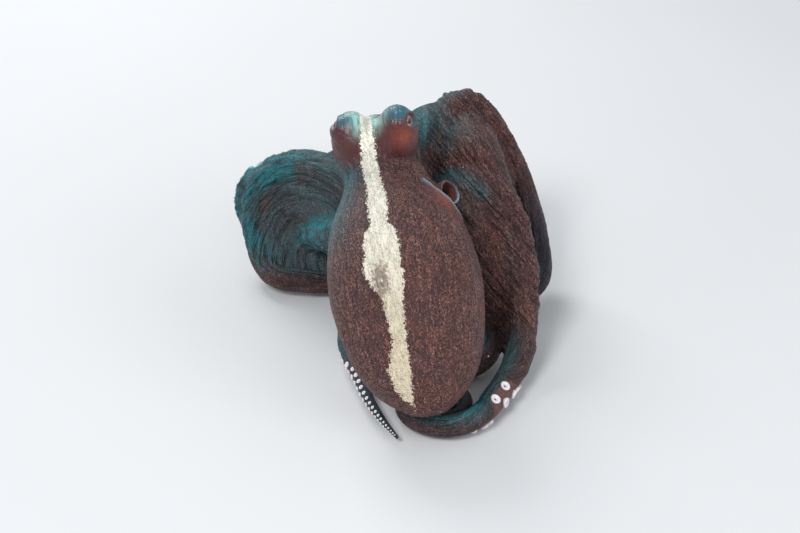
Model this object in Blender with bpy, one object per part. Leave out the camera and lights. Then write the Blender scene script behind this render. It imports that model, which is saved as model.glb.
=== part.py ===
"""Day octopus as a still, life-size museum model: mantle, head, eyes, siphon and eight arms with their web.

The animal sits on the floor. Its mantle hangs towards -Y, the head stands over the arm crown,
and the arms leave the crown in a ring, arch over, land on the floor and roll up.
Every length is in metres; points chosen by hand are written in millimetres and scaled by MM.
"""

import math

import bmesh
import bpy
import numpy as np
from mathutils import Matrix, Vector

MM = 0.001

# The row's origin is the middle of the model's footprint, this far from the layout's own origin.
FOOTPRINT_CENTRE = (-2.7 * MM, 162.3 * MM)

GAP = 0.3 * MM
HAIR = 0.004 * MM
FLOOR_Z = 0.0

# Mantle: a sac from the neck to the apex, half widths and half depths at stations along its axis.
NECK = (-6, 90, 98)
APEX = (14, 2, 22)
MANTLE_STATIONS = (
    # station, half width, half depth, sag of the centre line towards the belly
    (-0.30, 17.0, 15.0, 4.0),
    (-0.12, 20.0, 17.5, 2.5),
    (0.00, 24.5, 20.0, 1.0),
    (0.12, 32.0, 26.0, 0.0),
    (0.26, 37.0, 30.5, 0.0),
    (0.44, 39.6, 32.5, 0.0),
    (0.60, 38.0, 31.0, 0.5),
    (0.76, 33.8, 27.0, 1.0),
    (0.89, 26.5, 20.0, 0.5),
    (0.98, 16.5, 11.5, -1.0),
    (1.03, 8.0, 5.5, -2.0),
)

# Head: ellipsoids that flow into each other, as centre and half axes.
HEAD_FORMS = (
    ((-11, 107, 108), (22, 22, 24)),
    ((-8, 118, 88), (22, 21, 22)),
    ((-25, 103, 121), (11.0, 12.0, 16.0)),
    ((-1.5, 98, 126), (11.5, 12.0, 17.0)),
)
HUB_FORMS = (
    ((-2, 128, 62), (27, 24, 20)),
    ((-3, 124, 74), (23, 21, 20)),
)
MOUTH = (-2, 128, 42)
LIP_RADIUS = 6.5
LIP_THICKNESS = 2.4

# Eyes: centre of the ball, and the way the pupil looks.
EYES = {
    "eye_right": ((-1.0, 95.8, 133.0), (0.86, -0.22, 0.46)),
    "eye_left": ((-27.5, 102.6, 126.5), (-0.85, 0.05, 0.52)),
}
EYE_RADIUS = 7.6
LID_RING = 6.2
LID_THICKNESS = 2.0
LID_SET = 4.3

# Siphon: from its root under the head to its open mouth at the mantle's right edge.
SIPHON = ((8, 104, 84), (19, 97, 91), (30, 88, 96))
SIPHON_RADII = (6.0, 5.4, 4.4)
SIPHON_BORE = 2.6
SIPHON_BORE_DEPTH = 9.0
MANTLE_SLIT_CENTRE = (22, 90, 99)
MANTLE_SLIT_HALF = (13.5, 3.0, 9.0)
MANTLE_SLIT_TURN = (-24, -22, -38)

# Arms: half thickness at the root and at the tip, and how quickly it falls.
ARM_ROOT_RADIUS = 10.0
ARM_TIP_RADIUS = 0.8
ARM_TAPER = 0.8
# An arm's length is its whole length. The points lead it out of the crown and down to the floor,
# curl is (radius at the tip, turn to the left as 1 or to the right as -1, looseness) of the roll
# that follows, and cuts are the places along it where one length ends and the next starts.
ARMS = {
    "arm_r1": {
        "length": 460,
        "points": ((2, 138, 62), (8, 160, 82), (14, 186, 84), (19, 210, 58), (21, 228, 27), (20, 243, 12)),
        "curl": (3.0, -1, 1.25),
        "cuts": (116, 222, 330),
        "roll": 8,
    },
    "arm_l1": {
        "length": 425,
        "points": ((-9, 138, 62), (-16, 160, 77), (-20, 186, 71), (-17, 212, 46), (-11, 236, 20),
                   (-6, 256, 10.5), (-2, 276, 9.5), (-1, 288, 9)),
        "curl": (3.0, 1, 1.25),
        "cuts": (104, 196, 290),
        "roll": 8,
    },
    "arm_r2": {
        "length": 400,
        "points": ((8, 133, 62), (20, 153, 87), (29, 173, 107), (47, 187, 97), (69, 180, 60), (81, 161, 23),
                   (79, 142, 11), (66, 132, 9)),
        "curl": (3.0, -1, 1.3),
        "cuts": (132, 214, 290),
        "roll": -10,
    },
    "arm_l2": {
        "length": 385,
        "points": ((-14, 133, 60), (-29, 151, 71), (-54, 171, 73), (-79, 184, 58), (-86, 183, 33),
                   (-82, 168, 14), (-72, 153, 10), (-58, 148, 9.5), (-42, 147, 9), (-30, 147, 9)),
        "curl": (3.0, 1, 1.3),
        "cuts": (160, 230, 304),
        "roll": -22,
    },
    "arm_r3": {
        "length": 390,
        "points": ((9, 126, 60), (30, 136, 78), (50, 132, 78), (64, 112, 58), (67, 92, 38), (66, 74, 20),
                   (61, 56, 11), (55, 42, 9.5), (48, 28, 8.5)),
        "curl": (2.5, -1, 1.25),
        "cuts": (152, 232, 310),
        "roll": 20,
    },
    "arm_l3": {
        "length": 420,
        "points": ((-15, 126, 58), (-32, 132, 50), (-45, 148, 40), (-51, 166, 28), (-53, 186, 15),
                   (-62, 204, 10), (-74, 219, 9)),
        "curl": (3.0, -1, 1.25),
        "cuts": (74, 172, 250, 330),
        "roll": 16,
    },
    "arm_r4": {
        "length": 205,
        "points": ((3, 118, 56), (18, 110, 46), (34, 104, 30), (44, 96, 16), (46, 88, 11)),
        "curl": (3.0, -1, 1.2),
        "cuts": (72, 140),
        "roll": -8,
    },
    "arm_l4": {
        "length": 266,
        "points": ((-9, 118, 56), (-20, 105, 42), (-21, 90, 25), (-10, 81, 13), (1, 87, 9.5), (5, 101, 9),
                   (-3, 116, 9), (-16, 118, 8.5), (-27, 106, 8), (-29, 88, 8), (-27, 70, 7.5),
                   (-22, 54, 7), (-18, 38, 6.5), (-13, 24, 6), (-7, 11, 5.5), (-1, 1, 4.5)),
        "curl": None,
        "cuts": (50, 108, 172),
        "roll": 34,
    },
}
ARM_SIDES = {"near": 8, "middle": 8, "far": 7, "tip": 6}
PATH_STEP = 1.0 * MM

# Thin cuts that part the flesh: across the neck, and between the head and the arm crown.
NECK_CUT_CENTRE = (-6, 92.2, 90)
NECK_CUT_NORMAL = (0.10, -0.97, -0.21)
NECK_CUT_HALF = (38, 38)
COLLAR_CUT_CENTRE = (-5, 120, 80)
COLLAR_CUT_NORMAL = (0.0, -0.50, 0.866)
COLLAR_CUT_HALF = (40, 29)
CROWN_CENTRE = (-3, 127, 66)
CROWN_CUT_RADIUS = 17
CROWN_CUT_HEIGHT = 44
STRIP_REACH_IN = 29 * MM
STRIP_REACH_OUT = 12 * MM
STRIP_STATIONS = 10

# Web: how far it reaches along each of the two arms that it joins, and how far it swells out.
WEBS = (
    # first arm, second arm, reach along each, swell, and how upright the cut through it stays
    ("arm_r1", "arm_r2", 104, 118, 1.0, 0.0),
    ("arm_r2", "arm_r3", 132, 112, 3.0, 0.0),
    ("arm_r3", "arm_r4", 150, 74, 5.0, 0.0),
    ("arm_r4", "arm_l4", 50, 42, 0.0, 1.0),
    ("arm_l4", "arm_l3", 44, 60, 2.0, 1.0),
    ("arm_l3", "arm_l2", 70, 132, 2.0, 0.0),
    ("arm_l2", "arm_l1", 96, 94, 0.0, 0.0),
    ("arm_l1", "arm_r1", 92, 100, 0.0, 0.0),
)
WEB_START = 14 * MM
WEB_THICKNESS = 3.4 * MM
WEB_MARGIN_BAY = 0.16
WEB_ACROSS = 10
WEB_ALONG = 16

# Flesh is modelled whole in small voxels, eased, and thinned to this many triangles before it is parted.
FLESH_VOXEL = 2.0 * MM
FLESH_EASING = 7
FLESH_TRIANGLES = 3500

FLAT_ANGLE = 3.0

# Suckers: two rows along the underside of each arm, spaced by their own size.
SUCKERS_PER_ARM = 20
SUCKER_EVENNESS = 4.0 * MM
SUCKER_FIRST = 32 * MM
SUCKER_SPREAD_FULL = 110 * MM
SUCKER_SHARE = 0.42
SUCKER_HEIGHT = 0.5
SUCKER_SPREAD = 29
SUCKER_SIDES = 5

SKIN_COLOUR = (0.130, 0.062, 0.046, 1.0)
ARM_COLOUR = (0.105, 0.045, 0.036, 1.0)
WEB_COLOUR = (0.060, 0.050, 0.052, 1.0)
EYE_COLOUR = (0.30, 0.11, 0.04, 1.0)
SIPHON_COLOUR = (0.25, 0.10, 0.07, 1.0)


def metres(point):
    """A hand-placed point in millimetres, as a vector in the row frame."""
    x, y, z = point
    return np.array([x * MM - FOOTPRINT_CENTRE[0], y * MM - FOOTPRINT_CENTRE[1], z * MM])


def clear_scene():
    for thing in list(bpy.data.objects):
        bpy.data.objects.remove(thing, do_unlink=True)


def finish(name, colour, roughness):
    """A plain Principled material."""
    material = bpy.data.materials.new(name)
    material.use_nodes = True
    shader = material.node_tree.nodes["Principled BSDF"]
    shader.inputs["Base Color"].default_value = colour
    shader.inputs["Roughness"].default_value = roughness
    shader.inputs["Metallic"].default_value = 0.0
    return material


def mesh_object(name, points, faces):
    """A new mesh object, linked to the scene, with its normals turned outwards."""
    mesh = bpy.data.meshes.new(name)
    mesh.from_pydata([tuple(p) for p in points], [], [tuple(f) for f in faces])
    mesh.update()
    thing = bpy.data.objects.new(name, mesh)
    bpy.context.scene.collection.objects.link(thing)
    return thing


def smooth_curve(points, per_span=40):
    """Points along a Catmull-Rom curve through the given ones."""
    points = np.asarray(points, float)
    ends = np.vstack([2 * points[0] - points[1], points, 2 * points[-1] - points[-2]])
    spans = []
    for i in range(1, len(ends) - 2):
        t = np.linspace(0, 1, per_span, endpoint=False)[:, None]
        a, b, c, d = ends[i - 1], ends[i], ends[i + 1], ends[i + 2]
        spans.append(0.5 * (2 * b + (c - a) * t + (2 * a - 5 * b + 4 * c - d) * t**2
                            + (3 * b - a - 3 * c + d) * t**3))
    return np.vstack(spans + [points[-1:]])


def arc_lengths(points):
    steps = np.linalg.norm(np.diff(points, axis=0), axis=1)
    return np.concatenate([[0.0], np.cumsum(steps)])


class Arm:
    """One arm: its centre line by arc length, its half thickness, and the frame at each place."""

    def __init__(self, name):
        plan = ARMS[name]
        self.name = name
        self.length = plan["length"] * MM
        self.roll = math.radians(plan["roll"])
        lowest_row = math.radians(abs(SUCKER_SPREAD - abs(plan["roll"])))
        self.floor_lift = 0.985 * (1 + SUCKER_HEIGHT * SUCKER_SHARE) * math.cos(lowest_row)
        lead = smooth_curve([metres(p) for p in plan["points"]])
        path = self.rolled_up(lead, plan["curl"]) if plan["curl"] else lead
        along = arc_lengths(path)
        self.length = min(self.length, along[-1])
        self.s = np.arange(0.0, self.length, PATH_STEP)
        self.points = np.stack([np.interp(self.s, along, path[:, k]) for k in range(3)], axis=1)
        self.cuts = [cut * MM for cut in plan["cuts"]]

    def radius(self, s):
        left = np.maximum(1 - np.asarray(s) / self.length, 0)
        return ARM_ROOT_RADIUS * MM * left**ARM_TAPER + ARM_TIP_RADIUS * MM

    def rolled_up(self, lead, curl):
        """The lead and then a flat roll on the floor, whose turns lie beside each other."""
        tip_radius, turn, looseness = curl
        s = arc_lengths(lead)[-1]
        x, y, z = lead[-1]
        heading = math.atan2(lead[-1][1] - lead[-9][1], lead[-1][0] - lead[-9][0])
        widths = 2 * self.radius(np.arange(0, self.length + PATH_STEP, PATH_STEP))
        used = np.cumsum(widths) * PATH_STEP
        path = list(lead)
        started = 0
        while s < self.length:
            rest = used[-1] - used[min(int(s / PATH_STEP), len(used) - 1)]
            bend = math.sqrt((tip_radius * MM) ** 2 + looseness * rest / math.pi)
            ease = min(1.0, started / 16)
            heading += turn * PATH_STEP / bend * ease
            x += PATH_STEP * math.cos(heading)
            y += PATH_STEP * math.sin(heading)
            z += (self.floor_lift * float(self.radius(s)) - z) * 0.06
            path.append(np.array([x, y, z]))
            s += PATH_STEP
            started += 1
        return np.array(path)

    def at(self, s):
        return np.array([np.interp(s, self.s, self.points[:, k]) for k in range(3)])

    def tangent(self, s, reach=3 * MM):
        ahead = self.at(min(s + reach, self.s[-1])) - self.at(max(s - reach, 0.0))
        return ahead / np.linalg.norm(ahead)

    def frame(self, s):
        """(along, side, up) at s: up is the arm's back, away from its suckers."""
        along = self.tangent(s)
        up = np.array([0.0, 0.0, 1.0])
        up = up - along * (up @ along)
        if np.linalg.norm(up) < 0.25:
            outwards = self.at(s) - metres(MOUTH)
            up = up + 0.5 * outwards / np.linalg.norm(outwards)
            up = up - along * (up @ along)
        up /= np.linalg.norm(up)
        side = np.cross(along, up)
        landed = min(1.0, s / (0.35 * self.length))
        turn = self.roll * landed
        up, side = math.cos(turn) * up + math.sin(turn) * side, math.cos(turn) * side - math.sin(turn) * up
        return along, side, up

    def bend_radius(self, s):
        a, b = self.tangent(max(s - 2 * MM, 0)), self.tangent(min(s + 2 * MM, self.s[-1]))
        angle = math.acos(max(-1.0, min(1.0, float(a @ b))))
        return 4 * MM / max(angle, 1e-4)


def tube(name, rings, cap_start=True, cap_end=True):
    """A closed tube through rings of points, all with the same count."""
    count = len(rings[0])
    points = [p for ring in rings for p in ring]
    faces = []
    for i in range(len(rings) - 1):
        for j in range(count):
            k = (j + 1) % count
            faces.append((i * count + j, i * count + k, (i + 1) * count + k, (i + 1) * count + j))
    if cap_start:
        points.append(np.mean(rings[0], axis=0))
        tip = len(points) - 1
        faces += [(tip, (j + 1) % count, j) for j in range(count)]
    if cap_end:
        points.append(np.mean(rings[-1], axis=0))
        tip = len(points) - 1
        last = (len(rings) - 1) * count
        faces += [(tip, last + j, last + (j + 1) % count) for j in range(count)]
    thing = mesh_object(name, points, faces)
    turn_outwards(thing)
    return thing


def turn_outwards(thing):
    """Flips a closed mesh whose faces point inwards."""
    mesh = thing.data
    mesh.calc_loop_triangles()
    volume = 0.0
    for triangle in mesh.loop_triangles:
        a, b, c = (mesh.vertices[i].co for i in triangle.vertices)
        volume += a.dot(b.cross(c))
    if volume < 0:
        mesh.flip_normals()


def arm_rings(arm, start, end, sides, slack=0.0):
    """Rings of an arm between two places, closer together where it bends and where it is thin."""
    places = [start]
    while places[-1] < end:
        s = places[-1]
        radius = float(arm.radius(s))
        step = min(max(6 * MM, 1.5 * radius), 0.6 * arm.bend_radius(s))
        places.append(s + max(step, 3.6 * MM))
    share = (end - start) / (places[-1] - start)
    places = [start + (s - start) * share for s in places]
    rings = []
    for s in places:
        along, side, up = arm.frame(s)
        radius = float(arm.radius(s)) + slack
        centre = arm.at(s)
        ring = []
        for j in range(sides):
            angle = 2 * math.pi * (j + 0.5) / sides
            flat = 0.9 if math.sin(angle) < 0 else 1.0
            ring.append(centre + radius * (math.cos(angle) * side + flat * math.sin(angle) * up))
        rings.append(ring)
    return rings


def ellipsoid(name, centre, half, turn=(0, 0, 0), rings=16, sides=24):
    """An ellipsoid from its centre and half axes in millimetres, turned by degrees about X, Y and Z."""
    matrix = (Matrix.Rotation(math.radians(turn[2]), 3, "Z") @ Matrix.Rotation(math.radians(turn[1]), 3, "Y")
              @ Matrix.Rotation(math.radians(turn[0]), 3, "X"))
    middle = metres(centre)
    levels = []
    for i in range(1, rings):
        polar = math.pi * i / rings
        ring = []
        for j in range(sides):
            around = 2 * math.pi * j / sides
            local = Vector((half[0] * MM * math.sin(polar) * math.cos(around),
                            half[1] * MM * math.sin(polar) * math.sin(around),
                            half[2] * MM * math.cos(polar)))
            ring.append(middle + np.array(matrix @ local))
        levels.append(ring)
    return tube(name, levels)


def ring_wall(name, centre, radius, half_height, thickness, steps=40):
    """A thin upright wall along a circle."""
    corners = [(a * thickness / 2, b * half_height) for a, b in ((-1, -1), (1, -1), (1, 1), (-1, 1))]
    points, faces = [], []
    for i in range(steps):
        around = 2 * math.pi * i / steps
        out = np.array([math.cos(around), math.sin(around), 0.0])
        points += [centre + out * (radius + a) + np.array([0, 0, b]) for a, b in corners]
    for i in range(steps):
        n = (i + 1) % steps
        for j in range(4):
            k = (j + 1) % 4
            faces.append((i * 4 + j, n * 4 + j, n * 4 + k, i * 4 + k))
    thing = mesh_object(name, points, faces)
    turn_outwards(thing)
    return thing


def ring_tube(name, centre, axis, ring_radius, thickness, sides=10, steps=24):
    """A torus about an axis."""
    axis = np.array(axis) / np.linalg.norm(axis)
    first = np.cross(axis, (0.0, 0.0, 1.0))
    first /= np.linalg.norm(first)
    second = np.cross(axis, first)
    points, faces = [], []
    for i in range(steps):
        around = 2 * math.pi * i / steps
        out = math.cos(around) * first + math.sin(around) * second
        for j in range(sides):
            angle = 2 * math.pi * j / sides
            away = ring_radius + thickness * math.cos(angle)
            points.append(centre + out * away + axis * thickness * math.sin(angle))
    for i in range(steps):
        n = (i + 1) % steps
        for j in range(sides):
            k = (j + 1) % sides
            faces.append((i * sides + j, n * sides + j, n * sides + k, i * sides + k))
    thing = mesh_object(name, points, faces)
    turn_outwards(thing)
    return thing


def mantle_axes():
    """The mantle's axis, its right side and its back, as unit vectors, and its length."""
    neck, apex = metres(NECK), metres(APEX)
    length = np.linalg.norm(apex - neck)
    along = (apex - neck) / length
    side = np.cross(along, (0.0, 0.0, 1.0))
    side = side / np.linalg.norm(side)
    if side[0] < 0:
        side = -side
    back = np.cross(side, along)
    if back[2] < 0:
        back = -back
    return neck, along, side, back, length


def mantle_sizes(station):
    table = np.array(MANTLE_STATIONS)
    dense = smooth_curve(table, 12)
    return [np.interp(station, dense[:, 0], dense[:, k]) * MM for k in (1, 2, 3)]


def mantle_loft(name, first, last, slack=0.0, levels=26, sides=32):
    """The mantle between two stations, grown by slack, as a closed body."""
    neck, along, side, back, length = mantle_axes()
    rings = []
    for station in np.linspace(first, last, levels):
        half_width, half_depth, sag = mantle_sizes(station)
        centre = neck + along * length * station - back * sag
        across, upwards = (half_width + slack) * side, (half_depth + slack) * back
        angles = np.linspace(0, 2 * math.pi, sides, endpoint=False)
        rings.append([centre + math.cos(angle) * across + math.sin(angle) * upwards for angle in angles])
    return tube(name, rings)


def web_sheet(first, second, reach_first, reach_second, swell):
    """One panel of web between two arms: a closed sheet, with a bay in its free margin."""
    hub = metres((-2, 128, 20))
    grid = np.zeros((WEB_ALONG + 1, WEB_ACROSS + 1, 3))
    for j in range(WEB_ACROSS + 1):
        u = j / WEB_ACROSS
        bay = 1 - WEB_MARGIN_BAY * 4 * u * (1 - u)
        for i in range(WEB_ALONG + 1):
            v = bay * i / WEB_ALONG
            a = first.at(WEB_START + v * (reach_first * MM - WEB_START))
            b = second.at(WEB_START + v * (reach_second * MM - WEB_START))
            grid[i, j] = (1 - u) * a + u * b
    across = np.gradient(grid, axis=1)
    down = np.gradient(grid, axis=0)
    normal = np.cross(across, down)
    normal /= np.linalg.norm(normal, axis=2, keepdims=True) + 1e-12
    middle = grid[WEB_ALONG // 2, WEB_ACROSS // 2]
    if normal[WEB_ALONG // 2, WEB_ACROSS // 2] @ (middle - hub) < 0:
        normal = -normal
    for j in range(WEB_ACROSS + 1):
        u = j / WEB_ACROSS
        for i in range(WEB_ALONG + 1):
            bulge = swell * MM * 4 * u * (1 - u) * math.sin(math.pi * min(1, 1.2 * i / WEB_ALONG))
            grid[i, j] += normal[i, j] * bulge
    return sheet_solid("web", grid, normal * WEB_THICKNESS / 2)


def sheet_solid(name, grid, half):
    """A closed sheet about a grid of points, half of its thickness to each side, split alike on both."""
    rows, columns = grid.shape[:2]
    points = np.concatenate([(grid + half).reshape(-1, 3), (grid - half).reshape(-1, 3)])
    under = rows * columns
    faces = []
    for i in range(rows - 1):
        for j in range(columns - 1):
            a, d = i * columns + j, (i + 1) * columns + j
            b, c = a + 1, d + 1
            faces += [(a, b, c), (a, c, d)]
            faces += [(under + c, under + b, under + a), (under + d, under + c, under + a)]
    border = [(0, j) for j in range(columns)]
    border += [(i, columns - 1) for i in range(1, rows)]
    border += [(rows - 1, j) for j in range(columns - 2, -1, -1)]
    border += [(i, 0) for i in range(rows - 2, 0, -1)]
    for k, (row, column) in enumerate(border):
        a = row * columns + column
        next_row, next_column = border[(k + 1) % len(border)]
        b = next_row * columns + next_column
        faces += [(b, a, under + a), (b, under + a, under + b)]
    thing = mesh_object(name, points, faces)
    turn_outwards(thing)
    return thing


def joined(name, things):
    """One object that holds all the given meshes."""
    points, faces = [], []
    for thing in things:
        base = len(points)
        points += [thing.matrix_world @ v.co for v in thing.data.vertices]
        faces += [tuple(base + i for i in polygon.vertices) for polygon in thing.data.polygons]
        bpy.data.objects.remove(thing, do_unlink=True)
    return mesh_object(name, points, faces)


def applied(thing):
    """Replaces an object's mesh by its evaluated one, and drops its modifiers."""
    bpy.context.view_layer.update()
    graph = bpy.context.evaluated_depsgraph_get()
    mesh = bpy.data.meshes.new_from_object(thing.evaluated_get(graph))
    thing.modifiers.clear()
    thing.data = mesh
    return thing


def tidied(thing):
    """Closes the hair cracks that a Boolean leaves where corners all but coincide."""
    shape = bmesh.new()
    shape.from_mesh(thing.data)
    bmesh.ops.remove_doubles(shape, verts=shape.verts[:], dist=HAIR)
    bmesh.ops.dissolve_degenerate(shape, edges=shape.edges[:], dist=HAIR)
    bmesh.ops.triangulate(shape, faces=[face for face in shape.faces if len(face.verts) > 4])
    shape.to_mesh(thing.data)
    shape.free()
    return thing


def open_edges(thing):
    """How many edges of a mesh don't lie between exactly two faces."""
    shape = bmesh.new()
    shape.from_mesh(thing.data)
    count = sum(1 for edge in shape.edges if len(edge.link_faces) != 2)
    shape.free()
    return count


def boolean(thing, other, operation, solver="EXACT"):
    """Applies one Boolean with another object, which is then removed."""
    modifier = thing.modifiers.new("cut", "BOOLEAN")
    modifier.operation = operation
    modifier.solver = solver
    modifier.object = other
    applied(thing)
    bpy.data.objects.remove(other, do_unlink=True)
    return tidied(thing)


def union_all(thing, others):
    """Joins closed pieces to one object by a single Boolean union on their collection."""
    if not others:
        return thing
    before = thing.data.copy()
    volume = shell_bodies(thing)[0][0]
    group = bpy.data.collections.new("pieces")
    bpy.context.scene.collection.children.link(group)
    for other in others:
        bpy.context.scene.collection.objects.unlink(other)
        group.objects.link(other)
    for solver in ("EXACT", "MANIFOLD"):
        modifier = thing.modifiers.new("join", "BOOLEAN")
        modifier.operation = "UNION"
        modifier.solver = solver
        modifier.operand_type = "COLLECTION"
        modifier.collection = group
        tidied(applied(thing))
        if not open_edges(thing) and shell_bodies(thing)[0][0] > 0.99 * volume:
            break
        # The exact solver gave up on this mesh, so the union starts again by the other one.
        thing.data = before.copy()
    for other in list(group.objects):
        bpy.data.objects.remove(other, do_unlink=True)
    bpy.data.collections.remove(group)
    return thing


def flattened(thing, degrees=FLAT_ANGLE):
    """Joins neighbouring faces that lie all but flat to each other."""
    modifier = thing.modifiers.new("flat", "DECIMATE")
    modifier.decimate_type = "DISSOLVE"
    modifier.angle_limit = math.radians(degrees)
    applied(thing)
    triangulate = thing.modifiers.new("triangles", "TRIANGULATE")
    triangulate.min_vertices = 4
    return applied(thing)


def shells(thing):
    """The separate closed surfaces of a mesh, as lists of faces."""
    mesh = thing.data
    parent = list(range(len(mesh.vertices)))

    def root(i):
        while parent[i] != i:
            parent[i] = parent[parent[i]]
            i = parent[i]
        return i

    for edge in mesh.edges:
        a, b = root(edge.vertices[0]), root(edge.vertices[1])
        if a != b:
            parent[a] = b
    groups = {}
    for polygon in mesh.polygons:
        groups.setdefault(root(polygon.vertices[0]), []).append(tuple(polygon.vertices))
    return list(groups.values())


def volume_of(points, faces):
    total = 0.0
    for face in faces:
        for k in range(1, len(face) - 1):
            total += points[face[0]] @ np.cross(points[face[k]], points[face[k + 1]])
    return total / 6


def shell_bodies(thing):
    """(volume, points, faces) of each closed surface of a mesh, largest first."""
    everywhere = np.array([v.co for v in thing.data.vertices])
    found = []
    for faces in shells(thing):
        used = sorted({i for face in faces for i in face})
        place = {old: new for new, old in enumerate(used)}
        points = everywhere[used]
        local = [tuple(place[i] for i in face) for face in faces]
        found.append((volume_of(points, local), points, local))
    return sorted(found, key=lambda body: -abs(body[0]))


def keep_largest(thing):
    """Keeps only the largest closed surface."""
    _, points, faces = shell_bodies(thing)[0]
    name = thing.name
    old = thing.data
    mesh = bpy.data.meshes.new(name)
    mesh.from_pydata([tuple(p) for p in points], [], faces)
    mesh.update()
    thing.data = mesh
    bpy.data.meshes.remove(old)
    return thing


def sucker(arm, s, side_sign):
    """One sucker: a short cup on the arm's underside, sunk into it, with a dished face."""
    along, side, up = arm.frame(s)
    radius = float(arm.radius(s))
    rim = SUCKER_SHARE * radius
    spread = math.radians(SUCKER_SPREAD) * min(1.0, s / SUCKER_SPREAD_FULL)
    out = -math.cos(spread) * up + side_sign * math.sin(spread) * side
    centre = arm.at(s)
    across = np.cross(out, along)
    levels = ((0.55 * radius, 0.6), (radius + SUCKER_HEIGHT * rim, 1.0))
    rings = []
    for height, share in levels:
        rings.append([
            centre + out * height + rim * share * (math.cos(angle) * along + math.sin(angle) * across)
            for angle in np.linspace(0, 2 * math.pi, SUCKER_SIDES, endpoint=False)
        ])
    dish = centre + out * (radius + 0.1 * rim)
    cup = tube("sucker", rings)
    cup.data.vertices[len(cup.data.vertices) - 1].co = dish
    return cup


def sucker_places(arm):
    """Places of the suckers, each as far from the next as the arm there is thick."""
    grid = np.arange(SUCKER_FIRST, 0.985 * arm.length, 0.5 * MM)
    crowd = np.cumsum(1 / (arm.radius(grid) + SUCKER_EVENNESS))
    steps = np.linspace(crowd[0], crowd[-1], SUCKERS_PER_ARM)
    return [(float(np.interp(step, crowd, grid)), 1 if i % 2 else -1) for i, step in enumerate(steps)]


def box_below_floor():
    """A slab under the floor plane, that flattens what presses on it."""
    half, deep = 0.4, 0.05
    points = [(x, y, z) for z in (FLOOR_Z - deep, FLOOR_Z) for y in (-half, half) for x in (-half, half)]
    faces = [(0, 2, 3, 1), (4, 5, 7, 6), (0, 1, 5, 4), (2, 6, 7, 3), (0, 4, 6, 2), (1, 3, 7, 5)]
    slab = mesh_object("floor_slab", points, faces)
    turn_outwards(slab)
    return slab


def with_suckers(thing, arm, start, end):
    """Joins the suckers of a stretch of the arm to its solid and flattens them on the floor."""
    cups = [sucker(arm, s, sign) for s, sign in sucker_places(arm)
            if start + 0.55 * float(arm.radius(s)) < s < end - 0.55 * float(arm.radius(s))]
    union_all(thing, cups)
    if min(vertex.co.z for vertex in thing.data.vertices) < FLOOR_Z + HAIR:
        boolean(thing, box_below_floor(), "DIFFERENCE")
    return keep_largest(thing)


def flesh_forms(arms):
    """All the forms that flow into one another: mantle, head, crown, arm roots and web."""
    forms = [mantle_loft("mantle_form", MANTLE_STATIONS[0][0], MANTLE_STATIONS[-1][0])]
    forms += [ellipsoid("head_form", centre, half) for centre, half in HEAD_FORMS + HUB_FORMS]
    for arm in arms.values():
        forms.append(tube("root", arm_rings(arm, 0.0, arm.cuts[0] + 6 * MM, 14)))
    forms += [web_sheet(arms[a], arms[b], ra, rb, swell) for a, b, ra, rb, swell, _ in WEBS]
    return forms


def flesh(arms):
    """The soft body as one closed skin, eased where its forms meet."""
    body = joined("flesh", flesh_forms(arms))
    remesh = body.modifiers.new("voxels", "REMESH")
    remesh.mode = "VOXEL"
    remesh.voxel_size = FLESH_VOXEL
    applied(body)
    keep_largest(body)
    ease = body.modifiers.new("ease", "SMOOTH")
    ease.factor = 0.5
    ease.iterations = FLESH_EASING
    triangles = sum(len(p.vertices) - 2 for p in body.data.polygons)
    thin = body.modifiers.new("thin", "DECIMATE")
    thin.ratio = FLESH_TRIANGLES / triangles
    return applied(body)


def plate(name, centre, normal, first, half_first, half_second, half_depth):
    """A thin plate about a point, across a direction, with its first edge along another one."""
    normal = np.array(normal) / np.linalg.norm(normal)
    first = np.array(first) - normal * (np.array(first) @ normal)
    first /= np.linalg.norm(first)
    second = np.cross(normal, first)
    points = [centre + normal * c * half_depth + first * a * half_first + second * b * half_second
              for c in (-1, 1) for b in (-1, 1) for a in (-1, 1)]
    faces = [(0, 2, 3, 1), (4, 5, 7, 6), (0, 1, 5, 4), (2, 6, 7, 3), (0, 4, 6, 2), (1, 3, 7, 5)]
    thing = mesh_object(name, points, faces)
    turn_outwards(thing)
    return thing


def parted(body, cutters):
    """Cuts a body by thin cutters; gives its closed surfaces as (volume, points, faces), scraps left out."""
    for cutter in cutters:
        boolean(body, cutter, "DIFFERENCE")
    found = shell_bodies(body)
    return [b for b in found if b[0] > 0.004 * found[0][0]]


def body_object(name, body):
    _, points, faces = body
    return mesh_object(name, points, faces)


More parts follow.
